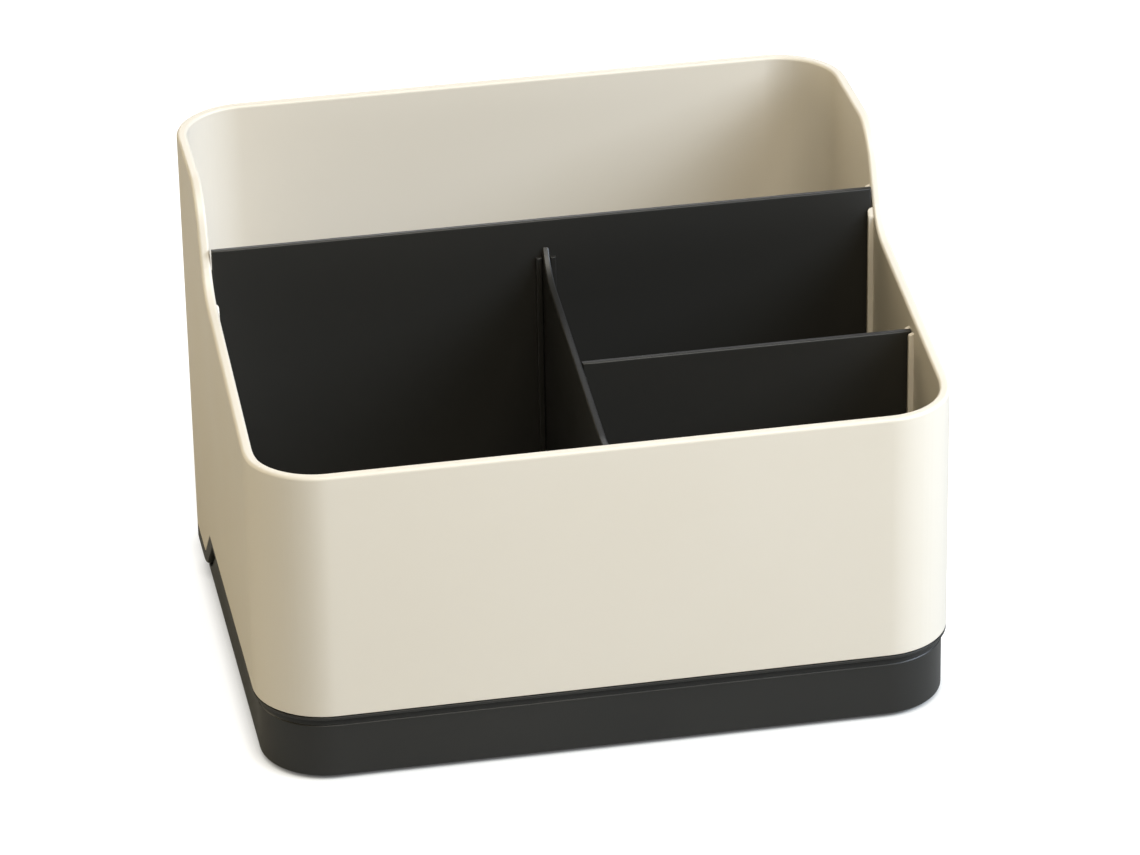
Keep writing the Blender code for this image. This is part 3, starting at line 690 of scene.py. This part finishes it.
def tray_surfaces(shell, floor, tray):
    """The tray as rings from its underside up the outer wall, over the leaning band and the top
    edge, in over the lips and down to a lid that also rises over the back wall."""
    across = np.linspace(-1, 1, 30)[1:-1]
    half = WIDTH / 2 - tray.inset
    radius = shell.corner - tray.inset
    base = tray.under + tray.base
    behind = tray.back + tray.wall
    cap = 0.5 * MM
    sweep = quarter(cap, 4)
    wall_path = [(tray.back - 1 * MM, base), (tray.back - 0.4 * MM, base + 0.12 * MM),
                 (tray.back, base + 0.8 * MM)]
    wall_path += [(tray.back + inset, tray.back_top - cap + rise) for inset, rise in sweep]
    wall_path += [(behind - inset, tray.back_top - cap + rise) for inset, rise in sweep[::-1]]
    wall_path += [(behind, base + 0.8 * MM), (behind + 0.4 * MM, base + 0.12 * MM),
                  (behind + 1 * MM, base)]
    ahead = np.linspace(shell.corner, tray.back - 2 * MM, 40)
    ahead = np.stack([ahead, np.full(len(ahead), base)], 1)
    after = np.linspace(behind + 1.5 * MM, tray.tongue_end - tray.tongue_round, 34)
    after = np.stack([after, np.full(len(after), base)], 1)
    bottom = np.concatenate([ahead, np.array(wall_path), after])
    cover = step_line(shell, floor.riser_depth + 1 * MM, tray.top, base, 2 * MM, 14 * MM,
                      shell.corner, DEPTH)
    top_line = np.interp(bottom[:, 0], cover[:, 0], cover[:, 1])
    lips = np.interp(bottom[:, 0], [tray.back - 0.5 * MM, tray.back - 0.2 * MM], [1, 0])
    place, facing = plan_columns(
        half, tray.inset, tray.tongue_end, radius, tray.tongue_round, bottom[:, 0], across)
    floor_height = round_plan(bottom[:, 1], base, base, across)
    top = round_plan(top_line, tray.top, base, across)
    lips = round_plan(lips, 0, 0, across)
    tall = np.clip((top - base) / (tray.top - base), 0, 1)

    def ring(inset, height):
        """A ring inset from the tray's outline."""
        return inset_ring(place, facing, inset, height)

    rings = [ring(tray.foot_round * 1.5, tray.under)]
    low_round = np.minimum(tray.foot_round, 0.5 * (top - tray.under))
    for inset, rise in quarter(1.0):
        rings.append(ring(low_round * (1 - rise), tray.under + low_round * inset))
    band_foot = top - tray.band * tall
    start = tray.under + low_round
    half_groove = 0.35 * MM * tall
    for share in (0.3, 0.6, 0.9):
        rings.append(ring(0, start * (1 - share) + (band_foot - half_groove) * share))
    for share, cut in ((1.0, 0.0), (0.55, 0.75), (0.3, 1.0), (0.05, 0.75), (-0.3, 0.1)):
        rings.append(ring(tray.groove * cut * tall, band_foot - half_groove * share))
    brim = 0.55 * MM * np.maximum(tall, 0.35)
    lead = tray.lead * tall
    rings.append(ring(lead * 0.45, band_foot * 0.45 + (top - brim) * 0.55))
    for inset, rise in quarter(1.0):
        rings.append(ring(lead + brim * inset, np.maximum(top - brim + brim * rise, start)))
    wall = tray.wall * np.ones_like(top)
    reach = tray.lip * lips
    inner = np.clip(0.4 * (top - floor_height), 0, 0.35 * MM)
    for inset, rise in quarter(1.0, 4)[::-1]:
        rings.append(ring(wall + reach - inner * inset, top - inner * (1 - rise)))
    lip_foot = np.maximum(top - tray.lip_thickness, floor_height)
    lip_foot = np.where(lips > 0, lip_foot, top - inner * 1.05)
    lip_edge = 0.2 * MM * lips
    for inset, height in (
            (reach, lip_foot + lip_edge), (np.maximum(reach - lip_edge, 0), lip_foot),
            (0, lip_foot - 0.02 * MM)):
        rings.append(ring(wall + inset, np.maximum(height, floor_height)))
    fillet = np.minimum(1.0 * MM, 0.45 * np.maximum(lip_foot - floor_height, 0))
    for inset, rise in quarter(1.0, 5):
        rings.append(ring(wall + fillet * inset, floor_height + fillet * (1 - rise)))
    rings.append(ring(wall + 1.3 * MM, floor_height))
    return [(np.array(rings), False, True), (lid(rings[0], across), False, False),
            (lid(rings[-1], across), False, False)]


# Hardware.

def bar(name, section, low, high, turn, rounding):
    """Straight bar: a closed section of (side, height) corners carried from low to high, with its
    ends closed and its edges rounded by a bevel."""
    section = np.array(section)
    ends = np.stack([
        np.column_stack([section[:, 0], np.full(len(section), run), section[:, 1]])
        for run in (low, high)])
    points = turn(ends.reshape(-1, 3)) + np.array([0, FRONT_Y, 0])
    count = len(section)
    here = np.arange(count)
    there = (here + 1) % count
    sides = np.stack([here, there, there + count, here + count], 1).tolist()
    mesh = bpy.data.meshes.new(name)
    mesh.from_pydata(points.tolist(), [], sides + [here[::-1].tolist(), (here + count).tolist()])
    shape = bmesh.new()
    shape.from_mesh(mesh)
    bmesh.ops.recalc_face_normals(shape, faces=shape.faces)
    bmesh.ops.bevel(shape, geom=shape.edges[:], offset=rounding, segments=3, profile=0.5,
                    affect="EDGES", clamp_overlap=True)
    shape.to_mesh(mesh)
    shape.free()
    return in_scene(name, mesh)


def cross_outline(angle, arm, half_width):
    """Distance from the middle to the edge of a plus sign, at each angle."""
    sine = np.maximum(np.abs(np.sin(angle)), 1e-9)
    cosine = np.maximum(np.abs(np.cos(angle)), 1e-9)
    level_arm = np.minimum(half_width / sine, arm / cosine)
    upright_arm = np.minimum(half_width / cosine, arm / sine)
    return np.maximum(level_arm, upright_arm)


def screw_surface(low, high, hardware):
    """A pan-head screw that points up: a thread wound round the shank as radius against height and
    angle, a domed head, and a cross recess whose edge is a plus sign in polar form."""
    centre = (low + high) / 2
    head = (high.x - low.x) / 2
    thickness = 1.2 * MM
    shank = 0.52 * head if head > 2.3 * MM else 0.4545 * head
    core = shank * 0.78
    arm, half_width = 0.5 * head, 0.13 * head
    corner = math.atan2(half_width, arm)
    first = np.array([0, 0.5 * corner, corner, 0.5 * (corner + math.pi / 4), math.pi / 4])
    eighth = np.concatenate([first, math.pi / 2 - first[-2:0:-1]])
    angle = (eighth[None, :] + np.arange(4)[:, None] * math.pi / 2).ravel()
    edge = cross_outline(angle, arm, half_width)
    rows = []

    def add_row(radius, height):
        """Adds one turn of the screw's surface."""
        rows.append(np.broadcast_arrays(radius, height, angle)[:2])

    add_row(0, high.z)
    heights = np.arange(high.z - 0.05 * MM, low.z + thickness + 0.25 * MM, -0.15 * MM)
    for height in heights:
        phase = height / hardware.thread_pitch + angle / (2 * math.pi)
        ridge = np.maximum(0, 1 - 3.2 * np.abs(phase - np.round(phase)))
        taper = np.interp(height, [high.z - 1.5 * MM, high.z], [0, 1])
        radius = (core + (shank - core) * ridge) * (1 - 0.75 * taper)
        add_row(radius, height)
    add_row(core, low.z + thickness)
    add_row(head - 0.12 * MM, low.z + thickness)
    crown = 0.85 * thickness
    for turn in np.linspace(0, math.pi / 2, 8):
        add_row(head - 0.6 * MM + 0.6 * MM * math.cos(turn),
                low.z + crown - crown * math.sin(turn))
    add_row(np.maximum(0.62 * head, edge * 1.12), low.z)
    for share, sunk in ((1.03, 0), (0.99, 0.05 * MM), (0.8, hardware.screw_recess),
                        (0.3, hardware.screw_recess * 1.15), (0, hardware.screw_recess * 1.2)):
        add_row(edge * share, low.z + sunk)
    radius, height = (np.array(column) for column in zip(*rows))
    return np.stack([centre.x + radius * np.cos(angle),
                     centre.y - FRONT_Y + radius * np.sin(angle), height], 2)


# Materials.

def group(name, inputs, outputs):
    """An empty shader node group with named sockets, and its two end nodes."""
    tree = bpy.data.node_groups.new(name, "ShaderNodeTree")
    for label, kind, value in inputs:
        tree.interface.new_socket(label, in_out="INPUT", socket_type=kind).default_value = value
    for label, kind in outputs:
        tree.interface.new_socket(label, in_out="OUTPUT", socket_type=kind)
    return tree, tree.nodes.new("NodeGroupInput"), tree.nodes.new("NodeGroupOutput")


def add_node(tree, kind, links=None, **values):
    """A node with its input values and links set by socket name or number."""
    node = tree.nodes.new(kind)
    for key, value in values.items():
        setattr(node, key, value)
    for key, value in (links or {}).items():
        if isinstance(value, bpy.types.NodeSocket):
            tree.links.new(value, node.inputs[key])
        else:
            node.inputs[key].default_value = value
    return node


def combined(tree, operation, *inputs):
    """The result of one sum on sockets and numbers."""
    return add_node(tree, "ShaderNodeMath", dict(enumerate(inputs)),
                    operation=operation).outputs[0]


def toned(tree, factor, tone, shade):
    """A colour between a tone and its shade."""
    return add_node(tree, "ShaderNodeMix", {"Factor": factor, 6: (*tone, 1), 7: (*shade, 1)},
                    data_type="RGBA").outputs[2]


def moulded_grain():
    """Fine etched texture of a moulding tool: cells broken up by noise, and a drift in tone."""
    tree, source, target = group(
        "moulded_grain",
        [("Size", "NodeSocketFloat", 0.35), ("Relief", "NodeSocketFloat", 1.0),
         ("Roughness", "NodeSocketFloat", 0.4), ("Roughness Spread", "NodeSocketFloat", 0.05)],
        [("Height", "NodeSocketFloat"), ("Roughness", "NodeSocketFloat"),
         ("Tone", "NodeSocketFloat")])
    place = add_node(tree, "ShaderNodeTexCoord").outputs["Object"]
    scale = combined(tree, "DIVIDE", 1 / MM, source.outputs["Size"])
    fine = add_node(tree, "ShaderNodeTexNoise",
                    {"Vector": place, "Scale": scale, "Detail": 3.0, "Roughness": 0.6})
    cells = add_node(tree, "ShaderNodeTexVoronoi", {"Vector": place, "Scale": scale},
                     feature="SMOOTH_F1")
    height = combined(tree, "MULTIPLY_ADD", cells.outputs["Distance"], 0.6, fine.outputs["Fac"])
    height = combined(tree, "MULTIPLY", height, source.outputs["Relief"])
    drift = add_node(tree, "ShaderNodeTexNoise",
                     {"Vector": place, "Scale": 22.0, "Detail": 2.0, "Roughness": 0.45})
    tone = add_node(tree, "ShaderNodeMapRange",
                    {"Value": drift.outputs["Fac"], "From Min": 0.3, "From Max": 0.7})
    spread = combined(tree, "SUBTRACT", tone.outputs[0], 0.5)
    rough = combined(tree, "MULTIPLY_ADD", spread, source.outputs["Roughness Spread"],
                     source.outputs["Roughness"])
    tree.links.new(height, target.inputs["Height"])
    tree.links.new(rough, target.inputs["Roughness"])
    tree.links.new(tone.outputs[0], target.inputs["Tone"])
    return tree


def handling_marks():
    """Faint long hairlines from use, crossing at random, as a mask."""
    tree, source, target = group(
        "handling_marks",
        [("Spacing", "NodeSocketFloat", 9.0), ("Amount", "NodeSocketFloat", 0.3)],
        [("Mask", "NodeSocketFloat")])
    place = add_node(tree, "ShaderNodeTexCoord").outputs["Object"]
    scale = combined(tree, "DIVIDE", 1 / MM, source.outputs["Spacing"])
    turned = add_node(tree, "ShaderNodeMapping",
                      {"Vector": place, "Rotation": (0.4, 0.9, 0.6), "Scale": (0.12, 1.0, 1.0)})
    lines = add_node(tree, "ShaderNodeTexNoise",
                     {"Vector": turned.outputs[0], "Scale": scale, "Detail": 6.0,
                      "Roughness": 0.7})
    thin = add_node(tree, "ShaderNodeMapRange",
                    {"Value": lines.outputs["Fac"], "From Min": 0.60, "From Max": 0.74})
    mask = combined(tree, "MULTIPLY", thin.outputs[0], source.outputs["Amount"])
    tree.links.new(mask, target.inputs["Mask"])
    return tree


# Name, grain size, relief, roughness and how far it varies, marks of use, specular level.
PLASTICS = (
    ("cream", 1.0, 0.6, 0.42, 0.08, 0.15, 0.45),
    ("charcoal", 1.0, 1.0, 0.42, 0.08, 0.3, 0.45),
    ("slide", 1.5, 0.5, 0.4, 0.1, 0.5, 0.5),
    ("rubber", 0.8, 2.0, 0.82, 0.1, 0.1, 0.3),
)


def new_material(name, tone):
    """A material with nodes, and its tree and shader."""
    material = bpy.data.materials.new(name)
    material.use_nodes = True
    material.diffuse_color = (*tone, 1)
    return material.node_tree, material.node_tree.nodes["Principled BSDF"]


def plastic(name, tone, shade, grain, marks, size, relief, roughness, spread, amount, specular):
    """Moulded plastic: two close tones, the etched grain as relief, and faint marks of use."""
    tree, shader = new_material(name, tone)
    texture = add_node(tree, "ShaderNodeGroup", {
        "Size": size / MM, "Relief": relief, "Roughness": roughness,
        "Roughness Spread": spread}, node_tree=grain)
    wear = add_node(tree, "ShaderNodeGroup", {"Amount": amount}, node_tree=marks)
    rough = add_node(tree, "ShaderNodeMath",
                     {0: wear.outputs["Mask"], 1: -0.12, 2: texture.outputs["Roughness"]},
                     operation="MULTIPLY_ADD", use_clamp=True)
    relief_node = add_node(tree, "ShaderNodeBump", {
        "Height": texture.outputs["Height"], "Strength": 0.25, "Distance": 0.02 * MM})
    tree.links.new(toned(tree, texture.outputs["Tone"], tone, shade), shader.inputs["Base Color"])
    tree.links.new(rough.outputs[0], shader.inputs["Roughness"])
    tree.links.new(relief_node.outputs["Normal"], shader.inputs["Normal"])
    shader.inputs["Specular IOR Level"].default_value = specular


def turned_steel(name, tone, marks):
    """Zinc-plated steel with faint marks."""
    tree, shader = new_material(name, tone)
    wear = add_node(tree, "ShaderNodeGroup", {"Spacing": 1.5, "Amount": 0.8}, node_tree=marks)
    rough = add_node(tree, "ShaderNodeMapRange",
                     {"Value": wear.outputs["Mask"], "To Min": 0.28, "To Max": 0.45})
    shade = [0.75 * part for part in tone]
    tree.links.new(toned(tree, wear.outputs["Mask"], tone, shade), shader.inputs["Base Color"])
    tree.links.new(rough.outputs[0], shader.inputs["Roughness"])
    shader.inputs["Metallic"].default_value = 1.0


def material_named(name):
    """A finish made by the finishes operator."""
    material = bpy.data.materials.get("organizer " + name)
    if material is None:
        raise RuntimeError("make the finishes first")
    return material


# Operators.

class PieceOperator:
    """What every piece's operator shares."""
    bl_options = {"REGISTER", "UNDO"}

    def execute(self, context):
        self.build(context.scene.desk_organizer)
        return {"FINISHED"}


class ORGANIZER_OT_finishes(PieceOperator, bpy.types.Operator):
    """Makes the plastics, the rubber and the steel"""
    bl_idname = "organizer.finishes"
    bl_label = "Finishes"

    def build(self, settings):
        finish = settings.finish
        grain, marks = moulded_grain(), handling_marks()
        tones = {"cream": (finish.cream, finish.cream_shade),
                 "charcoal": (finish.charcoal, finish.charcoal_shade),
                 "slide": (finish.slide_grey, [0.9 * part for part in finish.slide_grey]),
                 "rubber": (finish.rubber, [1.4 * part for part in finish.rubber])}
        for name, size, *surface in PLASTICS:
            plastic("organizer " + name, *tones[name], grain, marks, finish.grain * size, *surface)
        turned_steel("organizer steel", finish.steel, marks)


class ORGANIZER_OT_shell(PieceOperator, bpy.types.Operator):
    """Builds the cream shell"""
    bl_idname = "organizer.shell"
    bl_label = "Shell"

    def build(self, settings):
        rows = shell_surface(settings.shell, settings.divider, settings.floor.seam)
        piece = make_piece("shell", [(rows, True, True)])
        dress(piece, "housing", "outer_shell", material_named("cream"))


class ORGANIZER_OT_dividers(PieceOperator, bpy.types.Operator):
    """Builds the three lift-out dividers with their keeper ribs"""
    bl_idname = "organizer.dividers"
    bl_label = "Dividers"

    def build(self, settings):
        shell, divider, seam = settings.shell, settings.divider, settings.floor.seam
        charcoal = material_named("charcoal")
        rim = rim_line(shell)
        even = np.linspace(0, 1, 40)[1:-1]
        wall = WIDTH / 2 - shell.wall - seam
        thick, rounding, low = divider.thickness, divider.edge_round, divider.bottom

        def top_of(run):
            """Height of a divider's top at a depth."""
            return np.interp(run, rim[:, 0], rim[:, 1]) - divider.drop

        def keeper(start, end, centre, thickness, top, turn):
            """A small upright rib that holds the divider beside it."""
            return plate("keeper", start, end, thickness, level(top), low, turn(centre), 0.3 * MM,
                         np.array([0.5]))

        rear_middle = divider.rear_front + thick / 2
        rear = plate("rear panel", -wall, wall, thick, level(divider.rear_top), low,
                     across_width(rear_middle), rounding, even)
        keeper_top = shell.front_height + shell.run_slope * (shell.rise_foot - shell.run_start)
        near = thick / 2 + seam
        keepers = [
            keeper(side * (near + shell.rib_width / 2) - shell.rib_width / 2,
                   side * (near + shell.rib_width / 2) + shell.rib_width / 2,
                   divider.rear_front - divider.keeper_reach / 2 + thick / 4,
                   divider.keeper_reach + thick / 2, keeper_top, across_width)
            for side in (-1, 1)]
        combine(rear, keepers, "UNION")
        rear.name = "rear_panel"
        dress(rear, "rear_panel", "rear_divider", charcoal)

        along = np.linspace(0, 1, 90)[1:-1]
        long_one = plate("long panel", shell.wall + seam, divider.rear_front - seam, thick, top_of,
                         low, along_depth(0), rounding, along)
        top = top_of(np.array(divider.cross_front)) - divider.drop
        keepers = [
            keeper(start, end, thick / 4 + divider.keeper_reach / 2,
                   thick / 2 + divider.keeper_reach, top, along_depth)
            for start, end in slot_pairs(divider.cross_front, thick, seam, shell.rib_width)]
        combine(long_one, keepers, "UNION")
        long_one.name = "long_panel"
        dress(long_one, "long_panel", "long_divider", charcoal)

        cross = plate("cross_panel", thick / 2 + seam, wall, thick,
                      level(float(top_of(divider.cross_front))), low,
                      across_width(divider.cross_front + thick / 2), rounding, even)
        dress(cross, "cross_panel", "cross_divider", charcoal)


class ORGANIZER_OT_floor(PieceOperator, bpy.types.Operator):
    """Builds the dark stepped floor with its screw holes and foot seats"""
    bl_idname = "organizer.floor"
    bl_label = "Stepped floor"

    def build(self, settings):
        shell, floor = settings.shell, settings.floor
        piece = make_piece("floor", floor_surfaces(shell, floor))
        posts = []
        holes = []
        for corner in ("front_left", "front_right", "rear_left", "rear_right"):
            low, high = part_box(corner + "_shell_screw")
            place = middle_of(low, high)
            seat = low.z + HEAD_SEAT
            head = (high.x - low.x) / 2 + CLEARANCE
            if corner.startswith("rear"):
                foot = floor.pan_under + CLEARANCE
                posts.append(lathe(corner + " post", [
                    (0, POST_TOP), (POST_RADIUS - POST_EDGE, POST_TOP),
                    (POST_RADIUS, POST_TOP - POST_EDGE), (POST_RADIUS, foot), (0, foot)], place))
            holes.append(lathe(corner + " hole", [
                (0, SHELL_HOLE_TOP), (SHANK_HOLE, SHELL_HOLE_TOP), (SHANK_HOLE, seat),
                (head, seat), (head, 0), (0, 0)], place))
        holes += [seat_cutter(*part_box(f"rear_{side}_foot")) for side in ("left", "right")]
        combine(piece, posts, "UNION")
        combine(piece, holes, "DIFFERENCE")
        dress(piece, "housing", "stepped_floor", material_named("charcoal"))


class ORGANIZER_OT_tray(PieceOperator, bpy.types.Operator):
    """Builds the pull-out tray"""
    bl_idname = "organizer.tray"
    bl_label = "Tray"

    def build(self, settings):
        piece = make_piece(
            "tray", tray_surfaces(settings.shell, settings.floor, settings.tray))
        seats = [seat_cutter(*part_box(f"drawer_{end}_{side}_glide"))
                 for end in ("front", "rear") for side in ("left", "right")]
        combine(piece, seats, "DIFFERENCE")
        dress(piece, "drawer", "drawer_tray", material_named("charcoal"))


class ORGANIZER_OT_runners(PieceOperator, bpy.types.Operator):
    """Builds the two runners and the stop under the deck"""
    bl_idname = "organizer.runners"
    bl_label = "Runners and stop"

    def build(self, settings):
        hardware = settings.hardware
        slide = material_named("slide")
        thick = hardware.runner_thickness
        top = settings.floor.deck_under - settings.floor.seam
        web, flange, reach, foot = (hardware.runner_web, hardware.runner_flange,
                                    hardware.runner_reach, hardware.runner_foot)
        section = np.array([
            (flange, top - thick), (web - thick, top - thick), (web - thick, foot), (reach, foot),
            (reach, foot + thick), (web, foot + thick), (web, top), (flange, top)])
        for side, sign in (("left", -1), ("right", 1)):
            rail = bar(side + "_rail", section * np.array([sign, 1]), hardware.runner_start,
                       hardware.runner_end, lambda points: points, hardware.edge_round)
            holes = [pilot_cutter(*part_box(f"{side}_{end}_runner_screw"))
                     for end in ("front", "rear")]
            combine(rail, holes, "DIFFERENCE")
            dress(rail, "housing", side + "_runner", slide)
        low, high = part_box("drawer_stop")
        front, back = low.y - FRONT_Y, high.y - FRONT_Y
        leg = front + hardware.stop_leg
        half = hardware.stop_width / 2
        profile = [(front, hardware.stop_under), (leg, hardware.stop_under), (leg, top - thick),
                   (back, top - thick), (back, top), (front, top)]
        stop = bar("stop", profile, -half, half, lambda points: points[:, [1, 0, 2]],
                   hardware.edge_round)
        combine(stop, [pilot_cutter(*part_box("drawer_stop_screw"))], "DIFFERENCE")
        dress(stop, "housing", "drawer_stop", slide)


class ORGANIZER_OT_screws(PieceOperator, bpy.types.Operator):
    """Builds the nine screws with thread and cross recess"""
    bl_idname = "organizer.screws"
    bl_label = "Screws"

    def build(self, settings):
        steel = material_named("steel")
        for node in sorted(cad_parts):
            if not node.endswith("screw"):
                continue
            rows = screw_surface(*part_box(node), settings.hardware)
            piece = make_piece(node.replace("screw", "fastener"), [(rows, False, True)])
            dress(piece, "housing", node, steel)


class ORGANIZER_OT_feet(PieceOperator, bpy.types.Operator):
    """Builds the rubber feet and the tray's glides"""
    bl_idname = "organizer.feet"
    bl_label = "Feet and glides"

    def build(self, settings):
        for node in sorted(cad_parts):
            is_foot, is_glide = node.endswith("foot"), node.endswith("glide")
            if not (is_foot or is_glide):
                continue
            low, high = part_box(node)
            radius = (high.x - low.x) / 2
            edge = 0.5 * MM if is_foot else 0.4 * MM
            profile = [(0, high.z), (radius - 0.15 * MM, high.z), (radius, high.z - 0.15 * MM)]
            profile += [(radius - inset, edge - rise) for inset, rise in quarter(edge, 5)]
            if is_foot:
                for groove in (0.72 * radius, 0.4 * radius):
                    profile += [(groove + 0.5 * MM, 0), (groove + 0.35 * MM, 0.3 * MM),
                                (groove - 0.35 * MM, 0.3 * MM), (groove - 0.5 * MM, 0)]
            profile.append((0, 0))
            piece = lathe(node + "_pad", profile, middle_of(low, high))
            slot, finish = ("foot_rubber", "rubber") if is_foot else ("slide_plastic", "slide")
            dress(piece, "housing" if is_foot else "drawer", node, material_named(finish))


class ORGANIZER_OT_stage(PieceOperator, bpy.types.Operator):
    """Sets up the pale floor, the soft lights and the camera"""
    bl_idname = "organizer.stage"
    bl_label = "Stage"

    def build(self, settings):
        studio = settings.studio
        scene = bpy.context.scene
        scene.view_settings.view_transform = "Standard"
        ground_floor()
        surround(scene, studio.surround)
        for name, turn, height, size, power, tint in LIGHTS:
            soft_light(name, turn, height, size, power * studio.exposure, tint)
        aim_camera(scene, studio)


def ground_floor():
    """A wide pale floor under the object, with a painted contact shadow in its glow."""
    reach = FLOOR_REACH
    mesh = bpy.data.meshes.new("ground")
    corners = [(-reach, -reach, 0), (reach, -reach, 0), (reach, reach, 0), (-reach, reach, 0)]
    mesh.from_pydata(corners, [], [(0, 1, 2, 3)])
    ground = in_scene("ground", mesh)
    tree, shader = new_material("pale floor", FLOOR_TONE[:3])
    for label, value in (("Base Color", FLOOR_TONE), ("Roughness", 0.95),
                         ("Specular IOR Level", 0.05), ("Emission Color", WHITE)):
        shader.inputs[label].default_value = value
    # The floor shows white, but throws only a little light back up onto the object. The white the
    # camera sees is a glow, dimmed by ambient occlusion within a few millimetres of the object: a
    # painted contact shadow.
    path = add_node(tree, "ShaderNodeLightPath")
    # Ambient occlusion darkens the glow next to the object, a painted contact shadow.
    painted_contact_shadow = add_node(tree, "ShaderNodeAmbientOcclusion", {"Distance": PAINTED_SHADOW_REACH})
    seen = combined(tree, "MULTIPLY", path.outputs["Is Camera Ray"], FLOOR_GLOW)
    glow_with_painted_shadow = combined(tree, "MULTIPLY", seen, painted_contact_shadow.outputs["AO"])
    tree.links.new(glow_with_painted_shadow, shader.inputs["Emission Strength"])
    mesh.materials.append(bpy.data.materials["pale floor"])


def surround(scene, strength):
    """An even pale surround."""
    world = bpy.data.worlds.new("surround")
    world.use_nodes = True
    background = world.node_tree.nodes["Background"]
    background.inputs["Color"].default_value = WHITE
    background.inputs["Strength"].default_value = strength
    scene.world = world


# Name, turn from the front towards the right and height in degrees, width, power in watts, tint.
LIGHTS = (
    ("key", 70, 28, 0.6, 17.2, (0.89, 1.0, 1.17)),
    ("front key", 45, 35, 0.6, 9.0, (0.88, 1.0, 1.14)),
    ("overhead", 0, 60, 0.9, 16.5, (1.06, 1.0, 0.86)),
    ("left", -110, 15, 0.9, 7.0, (1.14, 1.0, 0.72)),
    ("left front", -60, 30, 0.9, 1.0, (1.3, 1.0, 0.3)),
    ("right rear", 150, 35, 0.9, 1.0, (0.9, 0.95, 1.2)),
    ("rear", 180, 22, 0.9, 6.0, (1.0, 1.0, 0.98)),
)


def direction(turn, height):
    """The way from the object towards a turn and height given in radians."""
    return Vector((math.sin(turn) * math.cos(height), -math.cos(turn) * math.cos(height),
                   math.sin(height)))


def soft_light(name, turn, height, size, power, tint):
    """A square soft light that faces the object's middle."""
    data = bpy.data.lights.new(name, "AREA")
    data.size = size
    data.energy = power
    data.color = tint
    lamp = in_scene(name, data)
    away = direction(math.radians(turn), math.radians(height))
    lamp.location = Vector(LIGHT_TARGET) + away * LIGHT_REACH
    lamp.rotation_euler = away.to_track_quat("Z", "Y").to_euler()


def aim_camera(scene, studio):
    """A long lens at the studio's angle, rolled about its own axis."""
    turn, rise, roll = (math.radians(value) for value in (
        studio.azimuth, studio.elevation, studio.roll))
    back = direction(turn, rise)
    right = Vector((math.cos(turn), math.sin(turn), 0))
    up = back.cross(right)
    across = right * math.cos(roll) + up * math.sin(roll)
    upward = up * math.cos(roll) - right * math.sin(roll)
    foot = Vector((0, FRONT_Y, 1 * MM))
    place = foot + back * studio.distance - across * studio.aim_side + upward * studio.aim_rise
    data = bpy.data.cameras.new("camera")
    data.sensor_width = 36
    data.lens = studio.lens
    data.clip_end = 100
    camera = in_scene("camera", data)
    matrix = Matrix((across, upward, back)).transposed().to_4x4()
    matrix.translation = place
    camera.matrix_world = matrix
    scene.camera = camera


class ORGANIZER_PT_panel(bpy.types.Panel):
    """Lists the organizer's settings and pieces"""
    bl_idname = "ORGANIZER_PT_panel"
    bl_label = "Desk Organizer"
    bl_space_type = "VIEW_3D"
    bl_region_type = "UI"
    bl_category = "Organizer"

    def draw(self, context):
        settings = context.scene.desk_organizer
        for operator in OPERATORS:
            self.layout.operator(operator.bl_idname)
        for part in SETTING_GROUPS:
            box = self.layout.box()
            box.label(text=part.capitalize())
            group_settings = getattr(settings, part)
            for name in group_settings.__annotations__:
                box.prop(group_settings, name)


SETTING_GROUPS = ("shell", "divider", "floor", "tray", "hardware", "finish", "studio")
OPERATORS = (
    ORGANIZER_OT_finishes, ORGANIZER_OT_shell, ORGANIZER_OT_dividers, ORGANIZER_OT_floor,
    ORGANIZER_OT_tray, ORGANIZER_OT_runners, ORGANIZER_OT_screws, ORGANIZER_OT_feet,
    ORGANIZER_OT_stage,
)
CLASSES = (
    ShellSizes, DividerSizes, FloorSizes, TraySizes, HardwareSizes, Finishes, Studio,
    OrganizerSettings, *OPERATORS, ORGANIZER_PT_panel,
)


def register():
    """Registers the classes and the scene's settings."""
    for cls in CLASSES:
        bpy.utils.register_class(cls)
    bpy.types.Scene.desk_organizer = bpy.props.PointerProperty(
        type=OrganizerSettings, name="Desk Organizer", description="The organizer's settings")


def unregister():
    """Takes the classes and the settings away again."""
    del bpy.types.Scene.desk_organizer
    for cls in reversed(CLASSES):
        bpy.utils.unregister_class(cls)


def main():
    """Builds every piece and the stage."""
    register()
    for name in ("finishes", "shell", "dividers", "floor", "tray", "runners", "screws", "feet",
                 "stage"):
        getattr(bpy.ops.organizer, name)()


if __name__ == "__main__":
    main()
